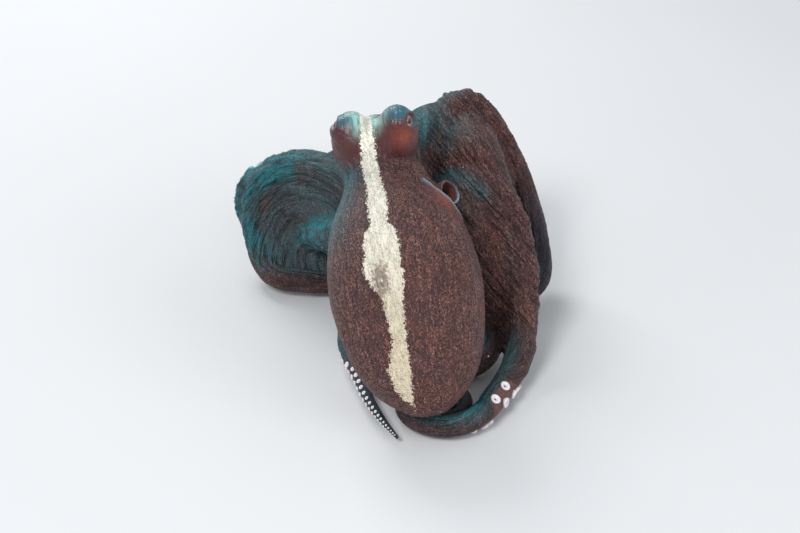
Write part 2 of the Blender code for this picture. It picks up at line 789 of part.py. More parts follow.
def web_strip(first, second, reach_first, reach_second, least_upright):
    """The thin wall along the middle of a web panel, which parts it between its two arms."""
    centres, widths = [], []
    for v in np.linspace(0.0, 1.0, STRIP_STATIONS):
        a = first.at(v * reach_first * MM)
        b = second.at(v * reach_second * MM)
        centres.append((a + b) / 2)
        widths.append(b - a)
    centres = np.array(centres)
    level = np.array([1.0, 1.0, 1.0 - least_upright])
    span = widths[-1] * level / np.linalg.norm(widths[-1] * level)
    outwards = (centres[-1] - centres[-4]) * level
    outwards = outwards - span * (outwards @ span)
    outwards /= np.linalg.norm(outwards)
    centres = np.vstack([centres, centres[-1] + outwards * 5 * MM, centres[-1] + outwards * 10 * MM])
    widths += [widths[-1], widths[-1]]
    tangents = np.gradient(centres, axis=0)
    heights = np.linspace(-1, 1, 3)
    grid = np.zeros((len(centres), len(heights), 3))
    half = np.zeros_like(grid)
    before = np.array([0.0, 0.0, 1.0])
    for i, (centre, width, tangent) in enumerate(zip(centres, widths, tangents)):
        tangent = tangent / np.linalg.norm(tangent)
        across = width - tangent * (width @ tangent)
        up = np.cross(tangent, across / np.linalg.norm(across))
        if up @ before < 0:
            up = -up
        before = up
        upright = min(1.0, max(least_upright, (0.42 * STRIP_STATIONS - i) / (0.28 * STRIP_STATIONS)))
        up = (1 - upright) * up + upright * np.array([0.0, 0.0, 1.0])
        up /= np.linalg.norm(up)
        reach = STRIP_REACH_OUT + (STRIP_REACH_IN * (1 + 0.6 * least_upright) - STRIP_REACH_OUT) * upright
        level = np.cross(tangent, up)
        grid[i] = centre + heights[:, None] * reach * up
        half[i] = level / np.linalg.norm(level) * GAP / 2
    return sheet_solid("strip", grid, half)


def arm_stretch(name, arm, start, end, sides):
    """One free length of an arm, with its suckers."""
    last = end >= arm.length
    first_place = start + GAP / 2
    last_place = arm.length - 0.3 * MM if last else end - GAP / 2
    thing = tube(name, arm_rings(arm, first_place, last_place, sides))
    return with_suckers(thing, arm, first_place, last_place)


def arm_base(name, body, arm):
    """The root of an arm with its share of the web, cut square where the next length starts."""
    thing = body_object(name, body)
    end = arm.cuts[0]
    along, side, _ = arm.frame(end)
    half = 4 * MM
    centre = arm.at(end) + along * (half - GAP / 2)
    reach = 1.7 * float(arm.radius(end))
    boolean(thing, plate("stub", centre, along, side, reach, reach, half), "DIFFERENCE")
    keep_largest(thing)
    flattened(thing)
    return with_suckers(thing, arm, 0.0, end - GAP / 2)


def eye_place(name):
    return (EYES[name][0],)


def eye_ball(name, centre, extra=0.0):
    half = EYE_RADIUS + extra / MM
    return ellipsoid(name, centre, (half, half, half), rings=10, sides=16)


def lid(name):
    centre, look = EYES[name]
    axis = np.array(look) / np.linalg.norm(look)
    return ring_tube("lid", metres(centre) + axis * LID_SET * MM, axis, LID_RING * MM, LID_THICKNESS * MM,
                     sides=6, steps=14)


def siphon_tube(name, extra=0.0):
    """The siphon: a bent, narrowing pipe, open at its far end."""
    path = smooth_curve([metres(p) for p in SIPHON], 4)
    shares = np.linspace(0, 1, len(path))
    radii = np.interp(shares, (0, 0.5, 1), SIPHON_RADII) * MM + extra
    rings = [ring_about(p, t, r, 12) for p, t, r in zip(path, np.gradient(path, axis=0), radii)]
    return tube(name, rings)


def siphon_bore():
    path = smooth_curve([metres(p) for p in SIPHON], 5)
    along = arc_lengths(path)
    tangents = np.gradient(path, axis=0)
    inside = [i for i in range(len(path)) if along[-1] - along[i] < SIPHON_BORE_DEPTH * MM]
    rings = [ring_about(path[i], tangents[i], SIPHON_BORE * MM, 10) for i in inside]
    out = tangents[-1] / np.linalg.norm(tangents[-1])
    rings.append(ring_about(path[-1] + out * 2 * MM, out, SIPHON_BORE * MM, 10))
    return tube("bore", rings)


def ring_about(centre, axis, radius, sides):
    axis = np.array(axis) / np.linalg.norm(axis)
    first = np.cross(axis, (0.0, 0.0, 1.0))
    first /= np.linalg.norm(first)
    second = np.cross(axis, first)
    angles = np.linspace(0, 2 * math.pi, sides, endpoint=False)
    return [centre + radius * (math.cos(a) * first + math.sin(a) * second) for a in angles]


LENGTH_NAMES = {
    2: ("base", "middle", "tip"),
    3: ("base", "middle", "far", "tip"),
    4: ("base", "near", "middle", "far", "tip"),
}


def nearest(bodies, place):
    """The closed surface with a point nearest to a place, taken out of the list."""
    found = min(bodies, key=lambda body: np.linalg.norm(body[1] - place, axis=1).min())
    bodies.remove(found)
    return found


def part_flesh(arms):
    """Parts the soft body by thin cuts: gives the mantle, the head, the crown and each arm's base."""
    whole = flesh(arms)
    neck = plate("neck_cut", metres(NECK_CUT_CENTRE), NECK_CUT_NORMAL, (1, 0, 0),
                 NECK_CUT_HALF[0] * MM, NECK_CUT_HALF[1] * MM, GAP / 2)
    collar = plate("collar_cut", metres(COLLAR_CUT_CENTRE), COLLAR_CUT_NORMAL, (1, 0, 0),
                   COLLAR_CUT_HALF[0] * MM, COLLAR_CUT_HALF[1] * MM, GAP / 2)
    bodies = parted(whole, [neck, collar])
    bpy.data.objects.remove(whole, do_unlink=True)
    mantle = nearest(bodies, metres(APEX))
    head = nearest(bodies, metres(EYES["eye_left"][0]))
    ring = body_object("ring", nearest(bodies, metres(MOUTH)))

    wall = ring_wall("crown_cut", metres(CROWN_CENTRE), CROWN_CUT_RADIUS * MM, CROWN_CUT_HEIGHT * MM, GAP)
    bodies = parted(ring, [wall])
    bpy.data.objects.remove(ring, do_unlink=True)
    crown = nearest(bodies, metres(MOUTH))
    ring = body_object("ring", bodies[0])
    strips = [web_strip(arms[a], arms[b], ra, rb, upright) for a, b, ra, rb, _, upright in WEBS]
    bodies = parted(ring, strips)
    bpy.data.objects.remove(ring, do_unlink=True)
    bases = {}
    for name, arm in arms.items():
        end = arm.cuts[0]
        skin_place = arm.at(end - 2 * MM) + arm.frame(end)[1] * arm.radius(end)
        bases[name] = nearest(bodies, skin_place)
    return mantle, head, crown, bases


def build_head(body):
    """The head with a lid round each eye, a socket for each ball and one for the siphon's root."""
    head = flattened(body_object("head", body))
    union_all(head, [lid(name) for name in EYES])
    for name in EYES:
        boolean(head, eye_ball("socket", *eye_place(name), extra=GAP), "DIFFERENCE")
    boolean(head, siphon_tube("siphon_socket", GAP), "DIFFERENCE")
    return keep_largest(head)


def build_mantle(body):
    """The mantle with its opening beside the neck."""
    mantle = flattened(body_object("mantle", body))
    opening = ellipsoid("opening", MANTLE_SLIT_CENTRE, MANTLE_SLIT_HALF, MANTLE_SLIT_TURN, 8, 14)
    boolean(mantle, opening, "DIFFERENCE")
    boolean(mantle, siphon_tube("siphon_way", GAP), "DIFFERENCE")
    return keep_largest(mantle)


def build_crown(body):
    """The middle of the arm crown, with the lip round the mouth on its underside."""
    crown = flattened(body_object("arm_crown", body))
    lip = ring_tube("lip", metres(MOUTH), (0.02, 0.0, 1.0), LIP_RADIUS * MM, LIP_THICKNESS * MM, 6, 14)
    union_all(crown, [lip])
    return keep_largest(crown)


def build_siphon():
    siphon = siphon_tube("siphon")
    boolean(siphon, siphon_bore(), "DIFFERENCE")
    return keep_largest(siphon)


def smooth_shaded(thing, degrees=50):
    thing.data.shade_smooth()
    thing.data.set_sharp_from_angle(angle=math.radians(degrees))


def main():
    clear_scene()
    arms = {name: Arm(name) for name in ARMS}
    mantle_body, head_body, crown_body, base_bodies = part_flesh(arms)
    nodes = [
        (build_mantle(mantle_body), SKIN_COLOUR, 0.5),
        (build_head(head_body), SKIN_COLOUR, 0.5),
        (build_crown(crown_body), WEB_COLOUR, 0.5),
        (build_siphon(), SIPHON_COLOUR, 0.45),
    ]
    nodes += [(eye_ball(name, *eye_place(name)), EYE_COLOUR, 0.12) for name in EYES]
    for name, arm in arms.items():
        labels = LENGTH_NAMES[len(arm.cuts)]
        nodes.append((arm_base(f"{name}_{labels[0]}", base_bodies[name], arm), ARM_COLOUR, 0.5))
        ends = arm.cuts + [arm.length]
        for k, label in enumerate(labels[1:]):
            stretch = arm_stretch(f"{name}_{label}", arm, ends[k], ends[k + 1], ARM_SIDES[label])
            nodes.append((stretch, ARM_COLOUR, 0.5))
    for thing, colour, roughness in nodes:
        thing.data.materials.clear()
        thing.data.materials.append(finish(thing.name, colour, roughness))
        smooth_shaded(thing)


if __name__ == "__main__":
    main()
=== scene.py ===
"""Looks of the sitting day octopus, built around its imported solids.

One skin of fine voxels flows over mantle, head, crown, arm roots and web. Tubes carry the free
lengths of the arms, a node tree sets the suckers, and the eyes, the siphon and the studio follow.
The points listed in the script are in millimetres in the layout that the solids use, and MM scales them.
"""

import logging
import math
from dataclasses import dataclass, field
from enum import Enum

import bmesh
import bpy
import numpy as np
from bpy.types import Material, Mesh, Node, NodeSocket, NodeTree, Object
from mathutils import Matrix, Vector
from mathutils.bvhtree import BVHTree
from mathutils.kdtree import KDTree


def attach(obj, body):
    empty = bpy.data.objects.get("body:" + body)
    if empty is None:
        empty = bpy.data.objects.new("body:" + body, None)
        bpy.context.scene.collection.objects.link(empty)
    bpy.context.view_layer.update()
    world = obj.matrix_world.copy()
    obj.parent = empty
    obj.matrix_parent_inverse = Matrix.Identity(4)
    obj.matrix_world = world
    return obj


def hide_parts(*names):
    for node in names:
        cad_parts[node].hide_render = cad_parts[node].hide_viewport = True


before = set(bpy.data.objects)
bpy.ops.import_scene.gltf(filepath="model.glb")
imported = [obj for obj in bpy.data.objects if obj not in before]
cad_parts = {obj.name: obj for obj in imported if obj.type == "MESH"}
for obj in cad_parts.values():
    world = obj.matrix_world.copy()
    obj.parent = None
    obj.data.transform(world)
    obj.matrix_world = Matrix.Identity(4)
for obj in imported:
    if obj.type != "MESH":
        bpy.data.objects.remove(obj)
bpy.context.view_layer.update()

LOG = logging.getLogger("day_octopus")
MM = 0.001
FOOTPRINT_CENTRE = (-2.7 * MM, 162.3 * MM)
SEED = 7

Array = np.ndarray
Masks = dict[str, Array]
Point = tuple[float, float, float]
Colour = tuple[float, float, float, float]


class Slot(Enum):
    """The record's material slots; main lists one beside each piece, but no piece is given it."""

    MANTLE = "mantle_skin"
    ARM = "arm_skin"
    SIPHON = "siphon_skin"
    EYE = "eye"


def metres(point: Point) -> Array:
    """Turns a given point in the layout's mm into metres in the row frame."""
    x, y, z = point
    return np.array([x * MM - FOOTPRINT_CENTRE[0], y * MM - FOOTPRINT_CENTRE[1], z * MM])


def placed(points: tuple[Point, ...]) -> Array:
    """Turns listed points into the row frame, one a row."""
    return np.array([metres(point) for point in points])


def unit(vector: Array) -> Array:
    """Scales one vector, or each row of an array, to length one."""
    vector = np.asarray(vector, float)
    return vector / (np.linalg.norm(vector, axis=-1, keepdims=True) + 1e-12)


def smoothstep(low: float, high: float, value: Array) -> Array:
    """Eases from 0 at low to 1 at high."""
    t = np.clip((np.asarray(value, float) - low) / (high - low), 0.0, 1.0)
    return t * t * (3 - 2 * t)


def fade(low: float, high: float, value: Array) -> Array:
    """Eases a length in metres from 0 at low to 1 at high, both in mm."""
    return smoothstep(low * MM, high * MM, value)


def smooth_curve(points: Array, per_span: int = 40) -> Array:
    """Runs a smooth curve through points.

    Args:
        points: The points, one a row.
        per_span: How many places each span gets.

    Returns:
        The places along the curve.
    """
    points = np.asarray(points, float)
    ends = np.vstack([2 * points[0] - points[1], points, 2 * points[-1] - points[-2]])
    spans = []
    for i in range(1, len(ends) - 2):
        t = np.linspace(0, 1, per_span, endpoint=False)[:, None]
        a, b, c, d = ends[i - 1], ends[i], ends[i + 1], ends[i + 2]
        spans.append(0.5 * (2 * b + (c - a) * t + (2 * a - 5 * b + 4 * c - d) * t**2
                            + (3 * b - a - 3 * c + d) * t**3))
    return np.vstack(spans + [points[-1:]])


def arc_lengths(points: Array) -> Array:
    """Gives the length along a polyline from its start to each point."""
    steps = np.linalg.norm(np.diff(points, axis=0), axis=1)
    return np.concatenate([[0.0], np.cumsum(steps)])


def round_angles(count: int) -> Array:
    """Gives even angles once round a circle, as a column."""
    return np.linspace(0, 2 * math.pi, count, endpoint=False)[:, None]


def circle(count: int, first: Array, second: Array) -> Array:
    """Gives directions once round, from the first towards the second."""
    angles = round_angles(count)
    return np.cos(angles) * first + np.sin(angles) * second


def round_axis(count: int, axis: Array) -> Array:
    """Gives directions once round an axis."""
    first = unit(np.cross(axis, (0.0, 0.0, 1.0)))
    return circle(count, first, np.cross(axis, first))


def bell(distance: Array, width: float, power: int = 2) -> Array:
    """Falls from 1 at a distance of 0, to about a third at the width."""
    return np.exp(-(distance / width) ** power)


def point_tree(points: Array) -> KDTree:
    """Sorts points so that the one nearest to a place is found quickly."""
    tree = KDTree(len(points))
    for i, point in enumerate(points):
        tree.insert(point, i)
    tree.balance()
    return tree


def gaps(points: Array, others: Array) -> Array:
    """Measures how far each point lies from the nearest of the others."""
    tree = point_tree(others)
    return np.array([tree.find(point)[2] for point in points])


def far_from(points: Array, centre: Array) -> Array:
    """Measures how far each point lies from one centre."""
    return np.linalg.norm(points - centre, axis=1)


def line_distance(points: Array, line: Array) -> Array:
    """Measures how far points lie from a smooth line through its own points."""
    return gaps(points, smooth_curve(line, 12))


@dataclass(frozen=True)
class Curl:
    """The flat roll at the end of an arm.

    turn is 1 for a roll to the left and -1 for one to the right.
    """

    tip_radius: float
    turn: int
    looseness: float


@dataclass(frozen=True)
class Twist:
    """A stretch of an arm that shows its underside: its middle and reach in mm, and its angle."""

    middle: float
    reach: float
    degrees: float


@dataclass
class Arm:
    """One arm: its centre line by arc length, its half thickness, and the frame at each place."""

    name: str
    length: float
    lead: tuple[Point, ...]
    curl: Curl | None
    first_cut: float
    roll: float
    twists: tuple[Twist, ...] = ()
    root_radius: float = 10.0 * MM
    tip_radius: float = 0.8 * MM
    taper: float = 0.8
    step: float = 1.0 * MM
    sucker_spread: float = 29.0
    points: Array = field(init=False)
    s: Array = field(init=False)

    def __post_init__(self) -> None:
        """Lays the centre line out along the lead and round the roll."""
        self.length *= MM
        lowest_row = math.radians(abs(self.sucker_spread - abs(self.roll)))
        self.floor_lift = 0.985 * 1.21 * math.cos(lowest_row)
        lead = smooth_curve(placed(self.lead))
        path = self.rolled_up(lead) if self.curl else lead
        along = arc_lengths(path)
        self.length = min(self.length, along[-1])
        self.s = np.arange(0.0, self.length, self.step)
        self.points = np.stack([np.interp(self.s, along, path[:, k]) for k in range(3)], axis=1)

    def radius(self, s: Array | float) -> Array:
        """Gives the half thickness at s, from the root to the tip."""
        left = np.maximum(1 - np.asarray(s) / self.length, 0)
        return self.root_radius * left**self.taper + self.tip_radius

    def rolled_up(self, lead: Array) -> Array:
        """Follows the lead by a flat roll on the floor, whose turns lie beside each other.

        Args:
            lead: The curve that brings the arm down to the floor.

        Returns:
            The whole centre line.
        """
        s = arc_lengths(lead)[-1]
        x, y, z = lead[-1]
        heading = math.atan2(lead[-1][1] - lead[-9][1], lead[-1][0] - lead[-9][0])
        widths = 2 * self.radius(np.arange(0, self.length + self.step, self.step))
        used = np.cumsum(widths) * self.step
        path = list(lead)
        started = 0
        while s < self.length:
            rest = used[-1] - used[min(int(s / self.step), len(used) - 1)]
            bend = math.sqrt((self.curl.tip_radius * MM) ** 2 + self.curl.looseness * rest / math.pi)
            heading += self.curl.turn * self.step / bend * min(1.0, started / 16)
            x += self.step * math.cos(heading)
            y += self.step * math.sin(heading)
            z += (self.floor_lift * float(self.radius(s)) - z) * 0.06
            path.append(np.array([x, y, z]))
            s += self.step
            started += 1
        return np.array(path)

    def at(self, s: float) -> Array:
        """Gives the centre line's point at s."""
        return np.array([np.interp(s, self.s, self.points[:, k]) for k in range(3)])

    def line(self, start: float, end: float, count: int) -> Array:
        """Gives even places on the centre line, from start to end in mm, one more than count."""
        return np.array([self.at((start + (end - start) * (i / count)) * MM) for i in range(count + 1)])

    def tangent(self, s: float, reach: float = 3 * MM) -> Array:
        """Gives the direction towards the tip at s, averaged over a short reach."""
        return unit(self.at(min(s + reach, self.s[-1])) - self.at(max(s - reach, 0.0)))

    def frame(self, s: float, hub: Array) -> tuple[Array, Array, Array]:
        """Gives the arm's own directions.

        Args:
            s: The place along the arm.
            hub: The mouth, which the back of the arm faces away from where it stands upright.

        Returns:
            The directions along the arm, to its side, and to its back, away from its suckers.
        """
        along = self.tangent(s)
        up = np.array([0.0, 0.0, 1.0])
        up = up - along * (up @ along)
        if np.linalg.norm(up) < 0.25:
            up = up + 0.5 * unit(self.at(s) - hub)
            up = up - along * (up @ along)
        up = unit(up)
        side = np.cross(along, up)
        turn = math.radians(self.roll) * min(1.0, s / (0.35 * self.length))
        for twist in self.twists:
            share = 1 - float(smoothstep(0.5, 1.0, abs(s / MM - twist.middle) / twist.reach))
            turn += math.radians(twist.degrees) * share
        sine, cosine = math.sin(turn), math.cos(turn)
        return along, cosine * side - sine * up, cosine * up + sine * side


ARMS = (
    Arm("arm_r1", 460,
        ((2, 138, 62), (8, 160, 82), (14, 186, 84), (19, 210, 58), (21, 228, 27), (20, 243, 12)),
        Curl(3.0, -1, 1.25), 116, 8),
    Arm("arm_r2", 400,
        ((8, 133, 62), (20, 153, 87), (29, 173, 107), (47, 187, 97), (69, 180, 60), (81, 161, 23),
         (79, 142, 11), (66, 132, 9)),
        Curl(3.0, -1, 1.3), 132, -10),
    Arm("arm_r3", 390,
        ((9, 126, 60), (30, 136, 78), (50, 132, 78), (64, 112, 58), (67, 92, 38), (66, 74, 20),
         (61, 56, 11), (55, 42, 9.5), (48, 28, 8.5)),
        Curl(2.5, -1, 1.25), 152, 20, (Twist(132, 44, -45), Twist(187, 16, 100), Twist(258, 66, -85))),
    Arm("arm_r4", 205, ((3, 118, 56), (18, 110, 46), (34, 104, 30), (44, 96, 16), (46, 88, 11)),
        Curl(3.0, -1, 1.2), 72, -8),
    Arm("arm_l4", 266,
        ((-9, 118, 56), (-20, 105, 42), (-21, 90, 25), (-10, 81, 13), (1, 87, 9.5), (5, 101, 9),
         (-3, 116, 9), (-16, 118, 8.5), (-27, 106, 8), (-29, 88, 8), (-27, 70, 7.5), (-22, 54, 7),
         (-18, 38, 6.5), (-13, 24, 6), (-7, 11, 5.5), (-1, 1, 4.5)),
        None, 50, 34, (Twist(230, 70, -150),)),
    Arm("arm_l3", 420,
        ((-15, 126, 58), (-32, 132, 50), (-45, 148, 40), (-51, 166, 28), (-53, 186, 15),
         (-62, 204, 10), (-74, 219, 9)),
        Curl(3.0, -1, 1.25), 74, 16),
    Arm("arm_l2", 385,
        ((-14, 133, 60), (-29, 151, 71), (-54, 171, 73), (-79, 184, 58), (-86, 183, 33),
         (-82, 168, 14), (-72, 153, 10), (-58, 148, 9.5), (-42, 147, 9), (-30, 147, 9)),
        Curl(3.0, 1, 1.3), 160, -22, (Twist(215, 100, 82),)),
    Arm("arm_l1", 425,
        ((-9, 138, 62), (-16, 160, 77), (-20, 186, 71), (-17, 212, 46), (-11, 236, 20),
         (-6, 256, 10.5), (-2, 276, 9.5), (-1, 288, 9)),
        Curl(3.0, 1, 1.25), 104, 8),
)
ARM = {arm.name: arm for arm in ARMS}
MOUTH = metres((-2, 128, 42))


@dataclass(frozen=True)
class Web:
    """One panel of web: the two arms that it joins, its reach along each in mm, and its swell."""

    first: str
    second: str
    reach_first: float
    reach_second: float
    swell: float


@dataclass
class Mantle:
    """The sac that holds the mantle: its axis and its half widths and half depths along it."""

    neck: Array = field(default_factory=lambda: metres((-6, 90, 98)))
    apex: Array = field(default_factory=lambda: metres((14, 2, 22)))
    # station, half width, half depth, sag of the centre line towards the belly
    stations: tuple[tuple[float, float, float, float], ...] = (
        (-0.30, 17.0, 15.0, 4.0), (-0.12, 20.0, 17.5, 2.5), (0.00, 24.5, 20.0, 1.0), (0.12, 32.0, 26.0, 0.0),
        (0.26, 37.0, 30.5, 0.0), (0.44, 39.6, 32.5, 0.0), (0.60, 38.0, 31.0, 0.5), (0.76, 33.8, 27.0, 1.0),
        (0.89, 26.5, 20.0, 0.5), (0.98, 16.5, 11.5, -1.0), (1.03, 8.0, 5.5, -2.0),
    )

    def __post_init__(self) -> None:
        """Works out the axis, the right side and the back."""
        self.length = float(np.linalg.norm(self.apex - self.neck))
        self.along = (self.apex - self.neck) / self.length
        self.side = unit(np.cross(self.along, (0.0, 0.0, 1.0)))
        if self.side[0] < 0:
            self.side = -self.side
        self.back = np.cross(self.side, self.along)
        if self.back[2] < 0:
            self.back = -self.back
        self.dense = smooth_curve(np.array(self.stations), 12)

    def sizes(self, station: Array) -> list[Array]:
        """Gives half width, half depth and sag at a station, in metres."""
        return [np.interp(station, self.dense[:, 0], self.dense[:, k]) * MM for k in (1, 2, 3)]

    def place(self, points: Array) -> tuple[Array, Array, Array, Array]:
        """Finds where points lie in the mantle's own terms.

        Args:
            points: Points in the row frame, one a row.

        Returns:
            Their stations, their distances to the right and to the back, and how far out they lie,
            as 1 on the mantle's own surface.
        """
        offset = points - self.neck
        station = offset @ self.along / self.length
        width, depth, sag = self.sizes(station)
        right = offset @ self.side
        back = offset @ self.back + sag
        return station, right, back, np.hypot(right / width, back / depth)

    def mesh(self, levels: int = 60, sides: int = 72) -> Object:
        """Lofts the sac from its first to its last station."""
        rings = []
        for station in np.linspace(self.stations[0][0], self.stations[-1][0], levels):
            width, depth, sag = self.sizes(station)
            centre = self.neck + self.along * self.length * station - self.back * sag
            angles = round_angles(sides)
            rings.append(centre + np.cos(angles) * width * self.side + np.sin(angles) * depth * self.back)
        return tube("mantle_form", rings)


@dataclass
class Eye:
    """An eye: where its ball is, the way it looks, and the half angles of the open lids."""

    name: str
    centre: Point
    look: Point
    radius: float = 7.6 * MM
    open_long: float = 34.0
    open_short: float = 20.5

    def __post_init__(self) -> None:
        """Works out the ball's middle and its level and upright directions."""
        self.middle = metres(self.centre)
        self.axis = unit(self.look)
        self.level = unit(np.cross((0.0, 0.0, 1.0), self.axis))
        self.upright = np.cross(self.axis, self.level)

    def lid_distance(self, points: Array) -> tuple[Array, Array]:
        """Measures points against the open lids.

        Args:
            points: Points in the row frame, one a row.

        Returns:
            How far out each lies round the look, as 1 on the edge of the lids, and its distance
            from the ball's middle.
        """
        offset = points - self.middle
        far = np.linalg.norm(offset, axis=1)
        ahead = offset @ self.axis
        across, height = offset @ self.level, offset @ self.upright
        angle = np.degrees(np.arctan2(np.hypot(across, height), ahead))
        around = np.arctan2(height, across)
        edge = 1 / np.sqrt((np.cos(around) / self.open_long) ** 2 + (np.sin(around) / self.open_short) ** 2)
        return angle / edge, far


MANTLE = Mantle()
EYES = (
    Eye("eye_right", (-1.0, 95.8, 133.0), (0.86, -0.22, 0.46)),
    Eye("eye_left", (-27.5, 102.6, 126.5), (-0.85, 0.05, 0.52)),
)


def linked(name: str, data: object) -> Object:
    """Makes an object and links it to the scene."""
    thing = bpy.data.objects.new(name, data)
    bpy.context.scene.collection.objects.link(thing)
    return thing


def mesh_object(name: str, points: Array, faces: list[tuple[int, ...]]) -> Object:
    """Makes a mesh object and links it to the scene.

    Args:
        name: The object's name.
        points: Its points.
        faces: Its faces, as indices of points.

    Returns:
        The new object.
    """
    mesh = bpy.data.meshes.new(name)
    mesh.from_pydata([tuple(p) for p in points], [], [tuple(f) for f in faces])
    mesh.update()
    return linked(name, mesh)


def turn_outwards(thing: Object) -> Object:
    """Flips a closed mesh whose faces point inwards.

    Args:
        thing: The object, which is changed.

    Returns:
        The same object.
    """
    mesh = thing.data
    mesh.calc_loop_triangles()
    points = coordinates(mesh)
    corners = np.zeros(len(mesh.loop_triangles) * 3, np.int32)
    mesh.loop_triangles.foreach_get("vertices", corners)
    a, b, c = (points[corners.reshape(-1, 3)[:, k]] for k in range(3))
    if np.einsum("ij,ij->i", a, np.cross(b, c)).sum() < 0:
        mesh.flip_normals()
    return thing


def read_vectors(mesh: Mesh, name: str) -> Array:
    """Reads one vector a point from a mesh, one a row."""
    flat = np.zeros(len(mesh.vertices) * 3, np.float32)
    mesh.vertices.foreach_get(name, flat)
    return flat.reshape(-1, 3).astype(float)


def coordinates(mesh: Mesh) -> Array:
    """Reads a mesh's points, one a row."""
    return read_vectors(mesh, "co")


def set_coordinates(mesh: Mesh, points: Array) -> None:
    """Writes a mesh's points from an array."""
    mesh.vertices.foreach_set("co", points.astype(np.float32).ravel())
    mesh.update()


def press_on_floor(mesh: Mesh) -> None:
    """Flattens what would reach below the floor, as soft flesh does."""
    points = coordinates(mesh)
    points[:, 2] = np.maximum(points[:, 2], 0.02 * MM)
    set_coordinates(mesh, points)


def walls(rings: int, count: int) -> list[tuple[int, ...]]:
    """Joins each ring of points to the next by faces of four corners."""
    corners = [(i * count, j, (j + 1) % count) for i in range(rings - 1) for j in range(count)]
    return [(row + j, row + k, row + count + k, row + count + j) for row, j, k in corners]


def tube(name: str, rings: list[Array]) -> Object:
    """Closes a tube through rings of points.

    Args:
        name: The object's name.
        rings: The rings, all with the same count of points.

    Returns:
        The closed tube, its faces outwards.
    """
    count = len(rings[0])
    points = [p for ring in rings for p in ring] + [np.mean(rings[0], axis=0), np.mean(rings[-1], axis=0)]
    start, end = len(points) - 2, len(points) - 1
    last = (len(rings) - 1) * count
    faces = walls(len(rings), count)
    for j in range(count):
        k = (j + 1) % count
        faces += [(start, k, j), (end, last + j, last + k)]
    return turn_outwards(mesh_object(name, points, faces))


def ruled(first: Array, second: Array, across: int) -> Array:
    """Spans a grid of points straight from one line of points to another."""
    share = (np.arange(across + 1) / across)[None, :, None]
    return (1 - share) * first[:, None] + share * second[:, None]


def ellipsoid(name: str, centre: Point, half: Point, turn: Point = (0, 0, 0)) -> Object:
    """Makes an ellipsoid.

    Args:
        name: The object's name.
        centre: Its middle, in millimetres.
        half: Its half axes, in millimetres.
        turn: Its turns about X, Y and Z, in degrees.

    Returns:
        The closed ellipsoid.
    """
    middle, matrix = metres(centre), turn_matrix(turn)
    rings = []
    around = round_angles(48)[:, 0]
    for polar in np.linspace(0, math.pi, 30)[1:-1]:
        local = np.stack([half[0] * math.sin(polar) * np.cos(around),
                          half[1] * math.sin(polar) * np.sin(around),
                          np.full_like(around, half[2] * math.cos(polar))], axis=1) * MM
        rings.append(middle + local @ matrix.T)
    return tube(name, rings)


def turn_matrix(turn: Point) -> Array:
    """Makes the rotation by degrees about X, then Y, then Z."""
    x, y, z = (math.radians(t) for t in turn)
    return np.array(Matrix.Rotation(z, 3, "Z") @ Matrix.Rotation(y, 3, "Y") @ Matrix.Rotation(x, 3, "X"))


def joined(name: str, things: list[Object]) -> Object:
    """Gathers meshes in one object.

    Args:
        name: The new object's name.
        things: The objects, which are removed.

    Returns:
        One object that holds all their points and faces.
    """
    points, faces = [], []
    for thing in things:
        base = len(points)
        points += list(coordinates(thing.data))
        faces += [tuple(base + i for i in polygon.vertices) for polygon in thing.data.polygons]
        bpy.data.objects.remove(thing, do_unlink=True)
    return mesh_object(name, points, faces)


def applied(thing: Object) -> Object:
    """Turns an object's modifiers into its mesh.

    Args:
        thing: The object, which is changed.

    Returns:
        The same object without modifiers.
    """
    bpy.context.view_layer.update()
    graph = bpy.context.evaluated_depsgraph_get()
    mesh = bpy.data.meshes.new_from_object(thing.evaluated_get(graph))
    thing.modifiers.clear()
    thing.data = mesh
    return thing


def add_masks(mesh: Mesh, masks: dict[str, Array | float]) -> None:
    """Stores masks that materials read.

    Args:
        mesh: The mesh that gets them.
        masks: By name, one number a point, or one for all points.
    """
    for name, values in masks.items():
        layer = mesh.attributes.new(name, "FLOAT", "POINT")
        layer.data.foreach_set("value", np.broadcast_to(values, len(mesh.vertices)).astype(np.float32))


